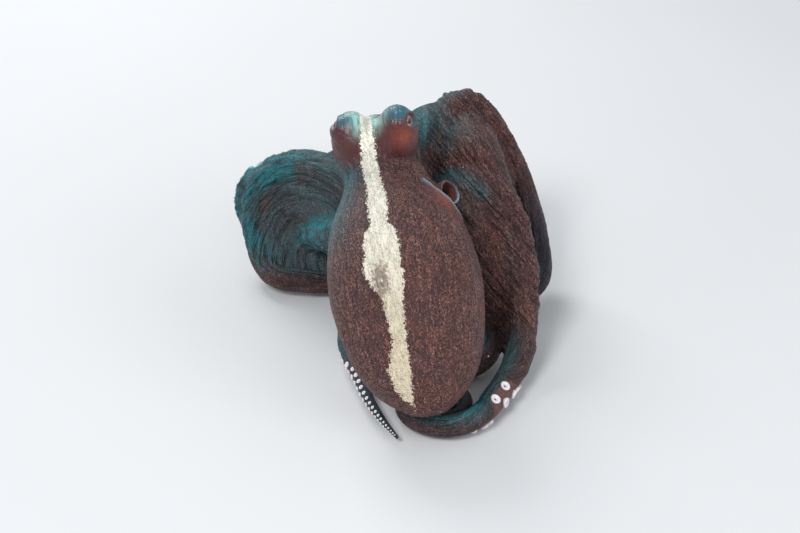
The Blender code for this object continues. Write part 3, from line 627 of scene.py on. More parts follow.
@dataclass
class Flesh:
    """All forms that flow into one another, and the fine skin over them."""

    voxel: float = 1.33 * MM
    easing: int = 17
    web_points: list[Array] = field(default_factory=list)
    web_start: float = 14 * MM
    web_thickness: float = 3.4 * MM
    margin_bay: float = 0.16
    # a point that all sheets swell away from
    under_crown: Point = (-2, 128, 20)
    # where the curtain starts and ends along its arm, in mm, on the arch and on the run below it
    curtain_top: tuple[float, float] = (24, 116)
    curtain_foot: tuple[float, float] = (207, 146)
    curtain_sag: float = 9 * MM
    head: tuple[tuple[Point, Point], ...] = (
        ((-11, 107, 108), (22, 22, 24)),
        ((-8, 118, 88), (22, 21, 22)),
        ((-25, 103, 121), (11.0, 12.0, 16.0)),
        ((-1.5, 98, 126), (11.5, 12.0, 17.0)),
        ((-2, 128, 62), (27, 24, 20)),
        ((-3, 124, 74), (23, 21, 20)),
    )
    fold_path: tuple[Point, ...] = ((0, 126, 101), (9, 148, 107), (18, 164, 106), (29, 173, 104))
    fold_radius: float = 8.5 * MM
    fold_foot: tuple[float, float] = (4, 54)
    fold_thickness: float = 7 * MM
    collar: tuple[Point, ...] = (
        (12, 81.5, 108.5), (15.4, 80.3, 106.4), (18.9, 79, 104.1), (23.1, 78.9, 100.7), (27, 79, 96.5),
        (29.5, 78, 92), (31, 76, 88),
    )
    webs: tuple[Web, ...] = (
        Web("arm_r1", "arm_r2", 104, 118, 1.0), Web("arm_r2", "arm_r3", 136, 124, 12.0),
        Web("arm_r3", "arm_r4", 178, 96, 12.0), Web("arm_r4", "arm_l4", 50, 42, 0.0),
        Web("arm_l4", "arm_l3", 44, 60, 2.0), Web("arm_l3", "arm_l2", 88, 168, 2.0),
        Web("arm_l2", "arm_l1", 96, 94, 0.0), Web("arm_l1", "arm_r1", 92, 100, 0.0),
    )
    # how far the frill reaches from the arm's middle, at places along the arm
    frill_places: tuple[float, ...] = (74, 84, 92, 100, 108, 116, 121, 128)
    frill_reach: tuple[float, ...] = (6.0, 9.0, 12.0, 14.5, 16.5, 17.0, 13.5, 7.0)
    frill_hub: Point = (-50, 160, 40)
    frill_thickness: float = 2.5 * MM
    # height and length of the frill's scallops and of its waves, in mm
    scallop: tuple[float, float] = (1.1, 11.5)
    wave: tuple[float, float] = (1.4, 17)
    slit_centre: Point = (22, 83.5, 100.5)
    slit_half: Point = (12.5, 3.2, 8.0)
    slit_turn: Point = (0, 45, -8)

    def root(self, arm: Arm) -> Object:
        """Makes an arm's root, which thins out inside the tube of its free length.

        Args:
            arm: The arm.

        Returns:
            The closed root.
        """
        end = arm.first_cut * MM + 14 * MM
        rings = []
        for s in np.linspace(0.0, end, 60):
            _, side, up = arm.frame(s, MOUTH)
            thin = 1 - 0.3 * float(smoothstep(end - 17 * MM, end, s))
            angles = round_angles(28)
            flat = np.where(np.sin(angles) < 0, 0.9, 1.0)
            outline = np.cos(angles) * side + flat * np.sin(angles) * up
            rings.append(arm.at(s) + float(arm.radius(s)) * thin * outline)
        return tube("root", rings)

    def sheet(self, web: Web, along: int = 40, across: int = 24) -> Object:
        """Makes one panel of web as a closed sheet, with a bay in its free margin.

        Args:
            web: The panel.
            along: How many steps it has from the crown to its margin.
            across: How many steps it has from arm to arm.

        Returns:
            The closed sheet.
        """
        first, second = ARM[web.first], ARM[web.second]
        grid = np.zeros((along + 1, across + 1, 3))
        for j in range(across + 1):
            u = j / across
            bay = 1 - self.margin_bay * 4 * u * (1 - u)
            for i in range(along + 1):
                v = bay * i / along
                a = first.at(self.web_start + v * (web.reach_first * MM - self.web_start))
                b = second.at(self.web_start + v * (web.reach_second * MM - self.web_start))
                grid[i, j] = (1 - u) * a + u * b
        return self.thickened(grid, web.swell, self.web_thickness)

    def curtain(self, along: int = 60, across: int = 40) -> Object:
        """Makes the web that hangs inside the loop of the second left arm.

        Args:
            along: How many steps it has along the arm.
            across: How many steps it has from the arch down to the arm's lower run.

        Returns:
            The closed sheet.
        """
        arm = ARM["arm_l2"]
        grid = ruled(arm.line(*self.curtain_top, along), arm.line(*self.curtain_foot, along), across)
        sag = np.sin(math.pi * (np.arange(across + 1) / across))
        grid[:, :, 1] += self.curtain_sag * sag * (1 - 0.5 * (np.arange(along + 1) / along))[:, None]
        return self.thickened(grid, 0.0, self.web_thickness)

    def frill_edge(self, share: float, count: int = 90) -> Array:
        """Runs a wavy line beside the outer side of the second left arm.

        Args:
            share: 0 inside the arm, 1 on the frill's free edge.
            count: How many places the line has.

        Returns:
            The line's points.
        """
        arm, hub = ARM["arm_l2"], metres(self.frill_hub)
        start, end = self.frill_places[0], self.frill_places[-1]
        line = []
        for k in range(count + 1):
            s = start + (end - start) * k / count
            outward = unit(arm.at(s * MM) - hub)
            reach = float(np.interp(s, self.frill_places, self.frill_reach))
            scallop = share * self.scallop[0] * abs(math.sin(math.pi * (s - start) / self.scallop[1]))
            wave = share * self.wave[0] * math.sin(2 * math.pi * (s - start) / self.wave[1])
            out = outward * MM * (3 + share * (reach - 4 + scallop))
            line.append(arm.at(s * MM) + out + np.array([0, wave * MM, 0]))
        return np.array(line)

    def frill(self) -> Object:
        """Makes the scalloped skirt on the outer side of the second left arm."""
        grid = np.stack([self.frill_edge(share) for share in np.linspace(0, 1, 12)], axis=1)
        return self.thickened(grid, 0.0, self.frill_thickness)

    def thickened(self, grid: Array, swell: float, thickness: float) -> Object:
        """Turns a grid of points into a closed sheet.

        Args:
            grid: The sheet's middle, as rows of columns of points.
            swell: How far its middle stands out, in mm.
            thickness: How thick it is, in metres.

        Returns:
            The closed sheet.
        """
        along, across = grid.shape[0] - 1, grid.shape[1] - 1
        normal = unit(np.cross(np.gradient(grid, axis=1), np.gradient(grid, axis=0)))
        if normal[along // 2, across // 2] @ (grid[along // 2, across // 2] - metres(self.under_crown)) < 0:
            normal = -normal
        u = np.arange(across + 1) / across
        rise = np.sin(math.pi * np.minimum(1, 1.2 * np.arange(along + 1) / along))
        grid += normal * (swell * MM * rise[:, None] * 4 * u * (1 - u))[:, :, None]
        half = normal * thickness / 2
        self.web_points.append(grid.reshape(-1, 3))
        outside = (grid + half).reshape(-1, 3)
        inside = (grid - half).reshape(-1, 3)
        columns, under = across + 1, len(outside)
        faces = []
        for i in range(along):
            for j in range(across):
                a, d = i * columns + j, (i + 1) * columns + j
                faces += [(a, a + 1, d + 1), (a, d + 1, d)]
                faces += [(under + d + 1, under + a + 1, under + a), (under + d, under + d + 1, under + a)]
        border = [(0, j) for j in range(columns)]
        border += [(i, across) for i in range(1, along + 1)]
        border += [(along, j) for j in range(across - 1, -1, -1)]
        border += [(i, 0) for i in range(along - 1, 0, -1)]
        for k, (row, column) in enumerate(border):
            a = row * columns + column
            next_row, next_column = border[(k + 1) % len(border)]
            b = next_row * columns + next_column
            faces += [(b, a, under + a), (b, under + a, under + b)]
        return turn_outwards(mesh_object("web", np.concatenate([outside, inside]), faces))

    def shoulder(self) -> Object:
        """Makes the fold of web that joins the head to the arch of the second right arm."""
        path = smooth_curve(placed(self.fold_path), 16)
        tangents = unit(np.gradient(path, axis=0))
        rings = [at + self.fold_radius * round_axis(28, tangent) for at, tangent in zip(path, tangents)]
        return tube("shoulder", rings)

    def shoulder_web(self, along: int = 40, across: int = 30) -> Object:
        """Makes the web that hangs from the shoulder's fold down to the second right arm."""
        top = smooth_curve(placed(self.fold_path), 16)
        upper = top[[round(i / along * (len(top) - 1)) for i in range(along + 1)]]
        grid = ruled(upper, ARM["arm_r2"].line(*self.fold_foot, along), across)
        return self.thickened(grid, 0.0, self.fold_thickness)

    def slit_depth(self, points: Array) -> Array:
        """Measures points against the mantle's opening: 1 lies on its surface, less is inside."""
        local = (points - metres(self.slit_centre)) @ turn_matrix(self.slit_turn)
        return np.linalg.norm(local / (np.array(self.slit_half) * MM), axis=1)

    def build(self) -> Object:
        """Fuses the forms to one eased skin and opens the mantle.

        Returns:
            The skin, not yet wrinkled.
        """
        forms = [MANTLE.mesh()]
        forms += [ellipsoid("head_form", centre, half) for centre, half in self.head]
        forms += [self.root(arm) for arm in ARMS]
        forms += [self.sheet(web) for web in self.webs]
        forms += [self.curtain(), self.frill(), self.shoulder(), self.shoulder_web()]
        body = joined("skin", forms)
        remesh = body.modifiers.new("voxels", "REMESH")
        remesh.mode = "VOXEL"
        remesh.voxel_size = self.voxel
        ease = body.modifiers.new("ease", "SMOOTH")
        ease.factor = 0.5
        ease.iterations = self.easing
        applied(body)
        opening = ellipsoid("opening", self.slit_centre, self.slit_half, self.slit_turn)
        cut = body.modifiers.new("open", "BOOLEAN")
        cut.operation = "DIFFERENCE"
        cut.solver = "MANIFOLD"
        cut.object = opening
        applied(body)
        bpy.data.objects.remove(opening, do_unlink=True)
        keep_largest(body)
        return body


def keep_largest(thing: Object) -> None:
    """Drops every closed surface but the one with most points.

    Args:
        thing: The object, which is changed.
    """
    shape = bmesh.new()
    shape.from_mesh(thing.data)
    shape.verts.ensure_lookup_table()
    left = set(range(len(shape.verts)))
    groups = []
    while left:
        start = left.pop()
        group, todo = [start], [start]
        while todo:
            for edge in shape.verts[todo.pop()].link_edges:
                for vertex in edge.verts:
                    if vertex.index in left:
                        left.discard(vertex.index)
                        group.append(vertex.index)
                        todo.append(vertex.index)
        groups.append(group)
    groups.sort(key=len)
    spare = [shape.verts[i] for group in groups[:-1] for i in group]
    bmesh.ops.delete(shape, geom=spare, context="VERTS")
    shape.to_mesh(thing.data)
    shape.free()


def refine_near(thing: Object, middle: Array, reach: float, longest: float) -> None:
    """Splits the edges of a skin near a point until they are short.

    Args:
        thing: The object, which is changed.
        middle: The point.
        reach: How far from it edges are split.
        longest: Edges longer than this are split.
    """
    shape = bmesh.new()
    shape.from_mesh(thing.data)
    centre = Vector(middle)
    for _ in range(2):
        edges = [e for e in shape.edges if (e.verts[0].co - centre).length < reach
                 and (e.verts[1].co - centre).length < reach and e.calc_length() > longest]
        bmesh.ops.subdivide_edges(shape, edges=edges, cuts=1, use_grid_fill=True, smooth=0.0)
    bmesh.ops.triangulate(shape, faces=[f for f in shape.faces if len(f.verts) > 4])
    shape.to_mesh(thing.data)
    shape.free()


@dataclass
class Flow:
    """The way the skin's wrinkles run, and the streaks that follow it."""

    points: Array
    normal: Array
    web_points: Array
    generator: np.random.Generator = field(default_factory=lambda: np.random.default_rng(SEED))
    # where the folds of the head and of the left web fan out from, and the way across the right web's folds
    crown: Point = (-3, 122, 112)
    loop: Point = (-34, 165, 13)
    lean: Point = (0.77, 0.32, 0.554)

    def __post_init__(self) -> None:
        """Finds each point's nearest arm, its share of mantle, and its direction of flow."""
        self.tree = point_tree(self.points)
        self.read_arms()
        self.station, self.right, self.back, out = MANTLE.place(self.points)
        on_axis = smoothstep(-0.16, 0.02, self.station)
        self.on_mantle = smoothstep(1.28, 1.08, out) * on_axis * smoothstep(1.2, 1.08, self.station)
        head = fade(70, 92, self.points[:, 2]) * (1 - self.on_mantle)
        near_arm = fade(60, 35, self.arm_s) * fade(30, 12, self.arm_gap)
        self.on_head = head * np.where(self.arm_s < 60 * MM, 1.0 - 0.5 * near_arm, 0.0)
        rays = unit(self.points - metres(self.crown))
        self.read_sides()
        web = fade(6, 3, gaps(self.points, self.web_points))
        web = np.maximum(web, 0.85 * self.side_right)[:, None]
        right, left = self.side_right[:, None], self.side_left[:, None]
        lines = right * self.lines_right + left * self.lines_left
        lines *= np.where(np.einsum("ij,ij->i", lines, rays) < 0, -1.0, 1.0)[:, None]
        spread = unit((1 - web) * self.arm_flow + web * (lines + (1 - right - left) * rays))
        mantle = self.on_mantle[:, None]
        flow = mantle * MANTLE.along * 2.0 + (1 - mantle) * spread
        way = np.sign(flow @ MANTLE.along + 1e-9)[:, None]
        flow += self.on_head[:, None] * MANTLE.along * way * 1.5
        flow -= self.normal * np.einsum("ij,ij->i", flow, self.normal)[:, None]
        self.direction = unit(flow)

    def read_sides(self) -> None:
        """Splits the crown in a right, a left and a back side, and measures across the lines of each."""
        place = (self.points + np.array([*FOOTPRINT_CENTRE, 0.0])) / MM
        x, y = place[:, 0], place[:, 1]
        self.side_right = smoothstep(8, 20, x) * smoothstep(200, 180, y)
        self.side_left = smoothstep(-14, -26, x) * smoothstep(205, 190, y)
        lean = np.array(self.lean)
        from_loop = place - np.array(self.loop)
        self.lines_right = np.cross(self.normal, lean)
        self.lines_left = np.cross(self.normal, unit(from_loop))
        width, depth, _ = MANTLE.sizes(self.station)
        self.across = {
            "across_right": place @ lean,
            "across_left": np.linalg.norm(from_loop, axis=1),
            "across_back": 45 * np.arctan2(np.abs(x + 2), y - 128),
            "across_sac": 36 * np.arctan2(self.right / width, self.back / depth),
        }

    def read_arms(self) -> None:
        """Finds the nearest arm of each point, and the mean direction of the arms near it."""
        count = len(self.points)
        best = np.full(count, 1e9)
        self.arm_s, self.arm_gap, self.arm_under = np.zeros((3, count))
        flow = np.zeros((count, 3))
        for arm in ARMS:
            reach = (arm.first_cut + 30) * MM
            places = np.arange(4 * MM, reach, 3 * MM)
            centres = np.array([arm.at(s) for s in places])
            frames = [arm.frame(s, MOUTH) for s in places]
            tangents = np.array([f[0] for f in frames])
            ups = np.array([f[2] for f in frames])
            for chunk in np.array_split(np.arange(count), max(1, count // 20000)):
                far = np.linalg.norm(self.points[chunk][:, None] - centres[None], axis=2)
                nearest = far.argmin(axis=1)
                gap = far[np.arange(len(chunk)), nearest] - arm.radius(places[nearest])
                flow[chunk] += tangents[nearest] / (np.maximum(gap, 0.5 * MM)[:, None] / MM + 1.0) ** 2
                closer = gap < best[chunk]
                who = chunk[closer]
                best[who] = gap[closer]
                self.arm_s[who] = places[nearest[closer]]
                self.arm_gap[who] = gap[closer]
                offset = self.points[who] - centres[nearest[closer]]
                self.arm_under[who] = np.einsum("ij,ij->i", unit(offset), -ups[nearest[closer]])
        self.arm_flow = unit(flow)

    def step_to(self, distance: float) -> Array:
        """Finds, for each point, the point nearest to a step along the flow."""
        ahead = self.points + self.direction * distance
        return np.array([self.tree.find(p)[1] for p in ahead])

    def streaks(self, near: tuple[Array, Array], steps: int) -> Array:
        """Draws noise out along the flow.

        Args:
            near: The neighbours ahead of and behind each point.
            steps: How many steps to take each way.

        Returns:
            Streaks with mean 0 and deviation 1.
        """
        noise = self.generator.normal(size=len(self.points))
        total = noise.copy()
        for way in near:
            at = np.arange(len(self.points))
            for _ in range(steps):
                at = way[at]
                total += noise[at]
        total -= total.mean()
        return total / total.std()


def blurred(mesh: Mesh, values: Array, passes: int) -> Array:
    """Averages values over neighbouring points.

    Args:
        mesh: The mesh whose edges join the neighbours.
        values: One number a point.
        passes: How often it is done.

    Returns:
        The blurred values.
    """
    ends = np.zeros(len(mesh.edges) * 2, np.int32)
    mesh.edges.foreach_get("vertices", ends)
    a, b = ends[0::2], ends[1::2]
    count = len(values)
    weight = 1.0 + np.bincount(a, minlength=count) + np.bincount(b, minlength=count)
    for _ in range(passes):
        total = values + np.bincount(a, values[b], count) + np.bincount(b, values[a], count)
        values = total / weight
    return values


@dataclass
class Skin:
    """The one skin over mantle, head, crown and arm roots, with its folds, lids and colour masks."""

    flesh: Flesh = field(default_factory=Flesh)
    fine_relief: float = 0.22 * MM
    fold_relief: float = 1.0 * MM
    lid_lip: float = 0.5 * MM
    lid_cover: float = 1.3 * MM
    # how far round each eye the skin is finer, and the longest edge there
    lid_reach: float = 13.5 * MM
    lid_edges: float = 0.75 * MM
    # the length of one step along the flow
    stride: float = 1.7 * MM
    # lines along which teal highlights are painted: a band across the right web, and the shoulder's top
    teal_highlight_band: tuple[Point, ...] = ((17, 130, 92), (27, 130, 88), (38, 128, 83), (46, 126, 78))
    shoulder_line: tuple[Point, ...] = ((6, 118, 112), (10, 140, 109), (16, 156, 108))
    tongue: Point = (-45, 141, 34)
    warm_patch: Point = (23, 75, 101)
    # the way that faces the painted teal sky light, the way that faces the painted teal rim light on the
    # left, and the way that the right eye's warm spot faces
    sky: Point = (-0.55, 0.30, 0.78)
    left: Point = (-1.0, 0.1, 0.1)
    glow: Point = (0.30, -0.88, -0.38)
    # the stripe's brown smudges: strength, station, its reach, place across the back and its reach in mm
    smudges: tuple[tuple[float, float, float, float, float], ...] = (
        (1.0, 0.475, 0.075, -17.5, 4.4), (0.6, 0.57, 0.09, -18.5, 3.4),
    )
    # station, middle and half width of the pale stripe, measured across the back in mm
    stripe: tuple[tuple[float, float, float], ...] = (
        (-0.46, -6.8, 3.2), (-0.36, -7.8, 3.2), (-0.28, -9.0, 3.4), (-0.20, -9.8, 3.8), (-0.10, -10.2, 4.0),
        (0.00, -10.2, 4.2), (0.10, -11.4, 5.0), (0.17, -12.6, 5.3), (0.22, -13.2, 4.6), (0.245, -13.6, 4.4),
        (0.26, -13.9, 7.4), (0.30, -14.4, 8.3), (0.36, -14.6, 8.8), (0.43, -16.0, 9.4), (0.48, -15.2, 9.0),
        (0.53, -14.2, 7.4), (0.57, -13.6, 5.4), (0.64, -13.6, 4.6), (0.74, -12.9, 3.9), (0.80, -13.8, 4.7),
        (0.86, -14.4, 5.4), (0.92, -13.2, 4.6), (0.97, -10.8, 2.4), (1.01, -8.0, 0.1),
    )

    def build(self) -> Object:
        """Builds the skin with its relief and masks.

        Returns:
            The finished mesh object, without materials.
        """
        skin = self.flesh.build()
        for eye in EYES:
            refine_near(skin, eye.middle, self.lid_reach, self.lid_edges)
        self.shape_lids(skin)
        mesh = skin.data
        points, normal = coordinates(mesh), read_vectors(mesh, "normal")
        flow = Flow(points, normal, np.concatenate(self.flesh.web_points))
        near = (flow.step_to(self.stride), flow.step_to(-self.stride))
        fine = flow.streaks(near, 7)
        fold = blurred(mesh, flow.streaks(near, 15), 3)
        fold /= fold.std()
        lids = [eye.lid_distance(points)[1] for eye in EYES]
        lid = np.minimum.reduce(lids)
        collar = line_distance(points, placed(self.flesh.collar))
        opening = self.flesh.slit_depth(points)
        calm = fade(12, 22, lid)
        web = (1 - flow.on_mantle) * (1 - 0.8 * flow.on_head)
        amount = self.fine_relief * (0.35 + 0.65 * web) * calm * smoothstep(1.0, 1.3, opening)
        folds = self.fold_relief * (0.12 + 1.2 * web * fade(18, 50, flow.arm_s)) * calm
        folds = folds * (1 - 0.35 * flow.side_right)
        rim = bell(opening - 1.06, 0.10) * fade(24, 16, far_from(points, metres(self.flesh.slit_centre)))
        ridges = np.minimum(np.abs(fold), 1.7) - 0.8
        lip = bell(collar, 1.5 * MM)
        relief = amount * fine * (1 - lip) + folds * ridges + 0.5 * MM * rim + 1.0 * MM * lip
        set_coordinates(mesh, points + normal * relief[:, None])
        # rim: a pale blue highlight painted along the collar's lip
        masks = {"streak": fine, "fold": fold, "rim": bell(collar, 1.3 * MM),
                 "inner": smoothstep(1.04, 0.98, opening)}
        for more in (self.stripe_masks(flow), self.sheen_masks(flow), self.head_masks(flow, lids),
                     self.region_masks(flow)):
            masks |= more
        add_masks(mesh, masks)
        mesh.shade_smooth()
        return skin

    def shape_lids(self, skin: Object) -> None:
        """Opens the lids over each ball and raises their lips.

        Args:
            skin: The skin, which is changed.
        """
        points = coordinates(skin.data)
        for eye in EYES:
            ring, far = eye.lid_distance(points)
            direction = unit(points - eye.middle)
            near = far < eye.radius + 6 * MM
            cover = eye.radius + self.lid_cover
            lip = self.lid_lip * bell(ring - 1.22, 0.24)
            outside = np.maximum(far, cover - 0.55 * self.lid_cover * smoothstep(1.6, 1.05, ring)) + lip
            blend = smoothstep(0.88, 1.08, ring)
            height = (1 - blend) * (eye.radius - 0.9 * MM) + blend * outside
            height = np.where(near & (ring < 3.2), height, far)
            points = np.where(near[:, None], eye.middle + direction * height[:, None], points)
        set_coordinates(skin.data, points)

    def stripe_masks(self, flow: Flow) -> Masks:
        """Draws the pale stripe, its flare between the eyes and the brown smudge in it.

        Args:
            flow: The skin's flow.

        Returns:
            The masks by name.
        """
        station, right = flow.station, flow.right
        table = np.array(self.stripe)
        middle, half = (np.interp(station, table[:, 0], table[:, k]) * MM for k in (1, 2))
        inside = np.minimum(half - np.abs(right - middle), (1.02 - station) * MANTLE.length)
        away = (flow.back < 2 * MM) | (flow.points[:, 1] > metres((0, 119, 0))[1])
        inside = np.where(away, -6 * MM, inside)
        brown = sum(
            strength * np.exp(-((station - at) / long) ** 2 - ((right - across * MM) / (wide * MM)) ** 2)
            for strength, at, long, across, wide in self.smudges)
        flare = smoothstep(-0.16, -0.27, station) * fade(12, 4, np.abs(right - middle))
        return {"stripe": np.clip(inside / MM, -6, 6), "yellowed": smoothstep(0.15, 0.85, station),
                "brown_patch": np.clip(brown, 0, 1), "flare": np.where(away, 0, flare)}

    def sheen_masks(self, flow: Flow) -> Masks:
        """Draws the teal of back, web, coil, shoulder and frill, partly a teal tint and partly painted sky
        light, rim light and highlights, and the frill's pale margin.

        Args:
            flow: The skin's flow.

        Returns:
            The masks by name.
        """
        points, normal, station = flow.points, flow.normal, flow.station
        off_mantle = 1 - flow.on_mantle
        # painted sky light: skin that faces up and back turns teal
        sky = np.clip(normal @ unit(self.sky), 0, 1) ** 3
        left_web = fade(-16, -34, points[:, 0]) * off_mantle
        # painted rim light: teal on the mantle's left edge, where the skin faces left
        left_rim_light = np.clip(normal @ unit(self.left), 0, 1) ** 3
        left_rim_light = left_rim_light * smoothstep(0.42, 0.02, station) * smoothstep(-0.25, -0.05, station)
        coil = bell(flow.arm_s - 170 * MM, 22 * MM) * (points[:, 0] > 20 * MM) * off_mantle
        frill = line_distance(points, self.flesh.frill_edge(0.8) + (0, -7 * MM, 0))
        tongue = bell(far_from(points, metres(self.tongue)) - 4 * MM, 9 * MM)
        rest = (1 - 0.75 * flow.on_mantle) * (1 - fade(40, 60, points[:, 0]) * 0.7)
        # painted teal highlights along the shoulder's top and along the band
        shoulder = line_distance(points, placed(self.shoulder_line))
        band = line_distance(points, placed(self.teal_highlight_band))
        glint = 0.75 * bell(shoulder, 11 * MM) + 0.55 * bell(band, 5 * MM)
        # the teal mask: partly a teal tint of the skin, partly painted sky light, rim light and highlights
        teal = 0.75 * sky * rest + 0.36 * left_web + 0.8 * left_rim_light + 0.4 * coil
        teal += bell(frill, 11 * MM, 4) + 0.35 * tongue * left_web + glint * off_mantle
        margin = line_distance(points, self.flesh.frill_edge(1.0))
        return {"teal": np.clip(teal, 0, 1), "margin": np.clip(4 - margin / MM, 0, 4)}

    def head_masks(self, flow: Flow, lids: list[Array]) -> Masks:
        """Draws the smooth turrets, their blue tops, partly a teal tint and partly painted light from above,
        and the warm patches.

        Args:
            flow: The skin's flow.
            lids: How far each point lies from the middle of each eye.

        Returns:
            The masks by name.
        """
        points, up = flow.points, flow.normal[:, 2]
        right_eye = EYES[0]
        glow = right_eye.middle + unit(self.glow) * right_eye.radius
        warm = bell(far_from(points, glow), 5.0 * MM)
        warm += 0.85 * bell(far_from(points, metres(self.warm_patch)), 8 * MM) * flow.on_mantle
        # painted light from above: the turrets' tops that face up turn blue-teal, partly also a teal tint
        tops = np.maximum.reduce([bell(far - 9 * MM, 7 * MM) * smoothstep(0.25, 0.9, up) for far in lids])
        near = fade(21, 14, np.minimum.reduce(lids))
        return {"warm": np.clip(warm, 0, 1),
                "eye_top": tops * fade(100, 118, points[:, 2]),
                "turret": near * fade(88, 104, points[:, 2])}

    def region_masks(self, flow: Flow) -> Masks:
        """Tells the regions apart: mantle, sides, the painted shade on the outer right arm behind the web,
        and the arms' undersides.

        Args:
            flow: The skin's flow.

        Returns:
            The masks by name.
        """
        points = flow.points
        # painted shade on the second right arm, where it lies behind the web
        outer = fade(58, 74, points[:, 0]) * fade(-2, 14, points[:, 1])
        under = smoothstep(0.35, 0.85, flow.arm_under) * fade(2.5, 0.5, flow.arm_gap)
        under = under * fade(60, 110, flow.arm_s)
        return {"on_mantle": flow.on_mantle, "side_right": flow.side_right, "side_left": flow.side_left,
                "navy": 0.75 * outer * fade(70, 50, points[:, 2]),
                "under": under * (1 - flow.on_mantle), **flow.across}


@dataclass
class FreeArms:
    """The free lengths of the arms, from inside their roots to their tips."""

    start_before: float = 22 * MM
    sides: int = 26
    groove: float = 0.05
    wrinkle: float = 0.055
    # the way that faces the painted teal sky light on the arms
    sky: Point = (-0.50, 0.42, 0.76)
    # how dark and navy an arm is: painted shade on the second right arm, which lies behind the web, and a
    # dark bluish tone on the fourth left arm; and how much painted teal light the coil gets on its upper side
    navy: dict[str, float] = field(default_factory=lambda: {"arm_l4": 0.85, "arm_r2": 0.75})
    sheen: dict[str, float] = field(default_factory=lambda: {"arm_r3": 0.55})

    def build(self) -> Object:
        """Builds the eight tubes with their grooves and masks.

        Returns:
            One mesh object that holds them all.
        """
        parts, masks = [], []
        generator = np.random.default_rng(SEED + 1)
        for arm in ARMS:
            rings, values = self.rings(arm, generator)
            parts.append(tube(arm.name, rings))
            masks.append({name: np.append(flat, [flat[0], flat[-1]]) for name, flat in values.items()})
        arms = joined("arm_lengths", parts)
        add_masks(arms.data, {name: np.concatenate([part[name] for part in masks]) for name in masks[0]})
        add_masks(arms.data, {"stripe": -6.0, "side_left": 1.0})
        press_on_floor(arms.data)
        arms.data.shade_smooth()
        return arms

    def rings(self, arm: Arm, generator: np.random.Generator) -> tuple[list[Array], Masks]:
        """Makes one arm's rings and the masks on them.

        Args:
            arm: The arm.
            generator: The source of its wrinkles.

        Returns:
            The rings, and each mask's values ring by ring.
        """
        start = arm.first_cut * MM - self.start_before
        places = [start]
        while places[-1] < arm.length - 0.3 * MM:
            places.append(places[-1] + max(0.7 * MM, 0.19 * float(arm.radius(places[-1]))))
        places = np.array(places)
        angles = 2 * math.pi * (np.arange(self.sides) + 0.5) / self.sides
        raw = generator.normal(size=(len(places), self.sides))
        streak = raw.copy()
        for shift in range(1, 8):
            streak += np.roll(raw, shift, axis=0)
        streak /= streak.std()
        broad = streak + np.roll(streak, 1, axis=1) + np.roll(streak, -1, axis=1)
        for shift in (4, 8, 12):
            broad = broad + np.roll(broad, shift, axis=0)
        broad /= broad.std()
        rings, rows = [], []
        around = 8 * np.arccos(np.sin(angles))
        navy, sheen = self.navy.get(arm.name, 0.0), self.sheen.get(arm.name, 0.0)
        sky = unit(self.sky)
        for i, s in enumerate(places):
            _, side, up = arm.frame(s, MOUTH)
            radius = float(arm.radius(s))
            grow = 0.90 + 0.10 * float(smoothstep(start, start + self.start_before, s))
            below = np.sin(angles)
            wrinkle = 0.45 * streak[i] - 0.5 * np.maximum(np.abs(broad[i]) - 0.8, -0.5)
            shape = np.where(below < 0, 0.90, 1.0) - self.groove * bell(below + 1.0, 0.10)
            shape = shape + self.wrinkle * wrinkle * np.where(below < -0.3, 0.3, 1.0)
            direction = np.cos(angles)[:, None] * side + below[:, None] * up
            rings.append(arm.at(s) + radius * grow * shape[:, None] * direction)
            # painted light on the arms: teal on the sides that face the sky and on the upper side of the coil
            upper = np.clip(direction[:, 2], 0, 1)
            coil = sheen * math.exp(-((s / MM - 214) / 24) ** 2) * upper
            rows.append({
                "across_left": around, "streak": streak[i], "fold": broad[i],
                "teal": 0.75 * np.clip(direction @ sky, 0, 1) ** 2.0 + coil,
                "navy": np.full(self.sides, navy * float(fade(20, 55, s - start))),
                "under": smoothstep(0.25, 0.8, -below) * (0.12 if arm.name == "arm_l4" else 0.8),
            })
        return rings, {name: np.concatenate([row[name] for row in rows]) for name in rows[0]}


class Value:
    """What one node gives out. Arithmetic on it adds Math nodes."""

    def __init__(self, tree: "Tree", socket: NodeSocket) -> None:
        """Keeps the tree and the output socket."""
        self.tree = tree
        self.socket = socket

    def __add__(self, other: "Value | float") -> "Value":
        """Adds another value."""
        return self.tree.math("ADD", self, other)

    def __radd__(self, other: float) -> "Value":
        """Adds this to a plain number."""
        return self.tree.math("ADD", other, self)

    def __sub__(self, other: "Value | float") -> "Value":
        """Takes another value away."""
        return self.tree.math("SUBTRACT", self, other)

    def __rsub__(self, other: float) -> "Value":
        """Takes this away from a plain number."""
        return self.tree.math("SUBTRACT", other, self)

    def __mul__(self, other: "Value | float") -> "Value":
        """Multiplies by another value."""
        return self.tree.math("MULTIPLY", self, other)

    def __rmul__(self, other: float) -> "Value":
        """Multiplies a plain number by this."""
        return self.tree.math("MULTIPLY", other, self)

    def __abs__(self) -> "Value":
        """Drops the sign."""
        return self.tree.math("ABSOLUTE", self)

    def range(self, low: "Value | float", high: "Value | float", to_low: float = 0.0,
              to_high: float = 1.0) -> "Value":
        """Adds a smooth Map Range node."""
        inputs = {0: self, 1: low, 2: high, 3: to_low, 4: to_high}
        return self.tree.out(0, "ShaderNodeMapRange", inputs, interpolation_type="SMOOTHSTEP")


Outputs = dict[str, Value]


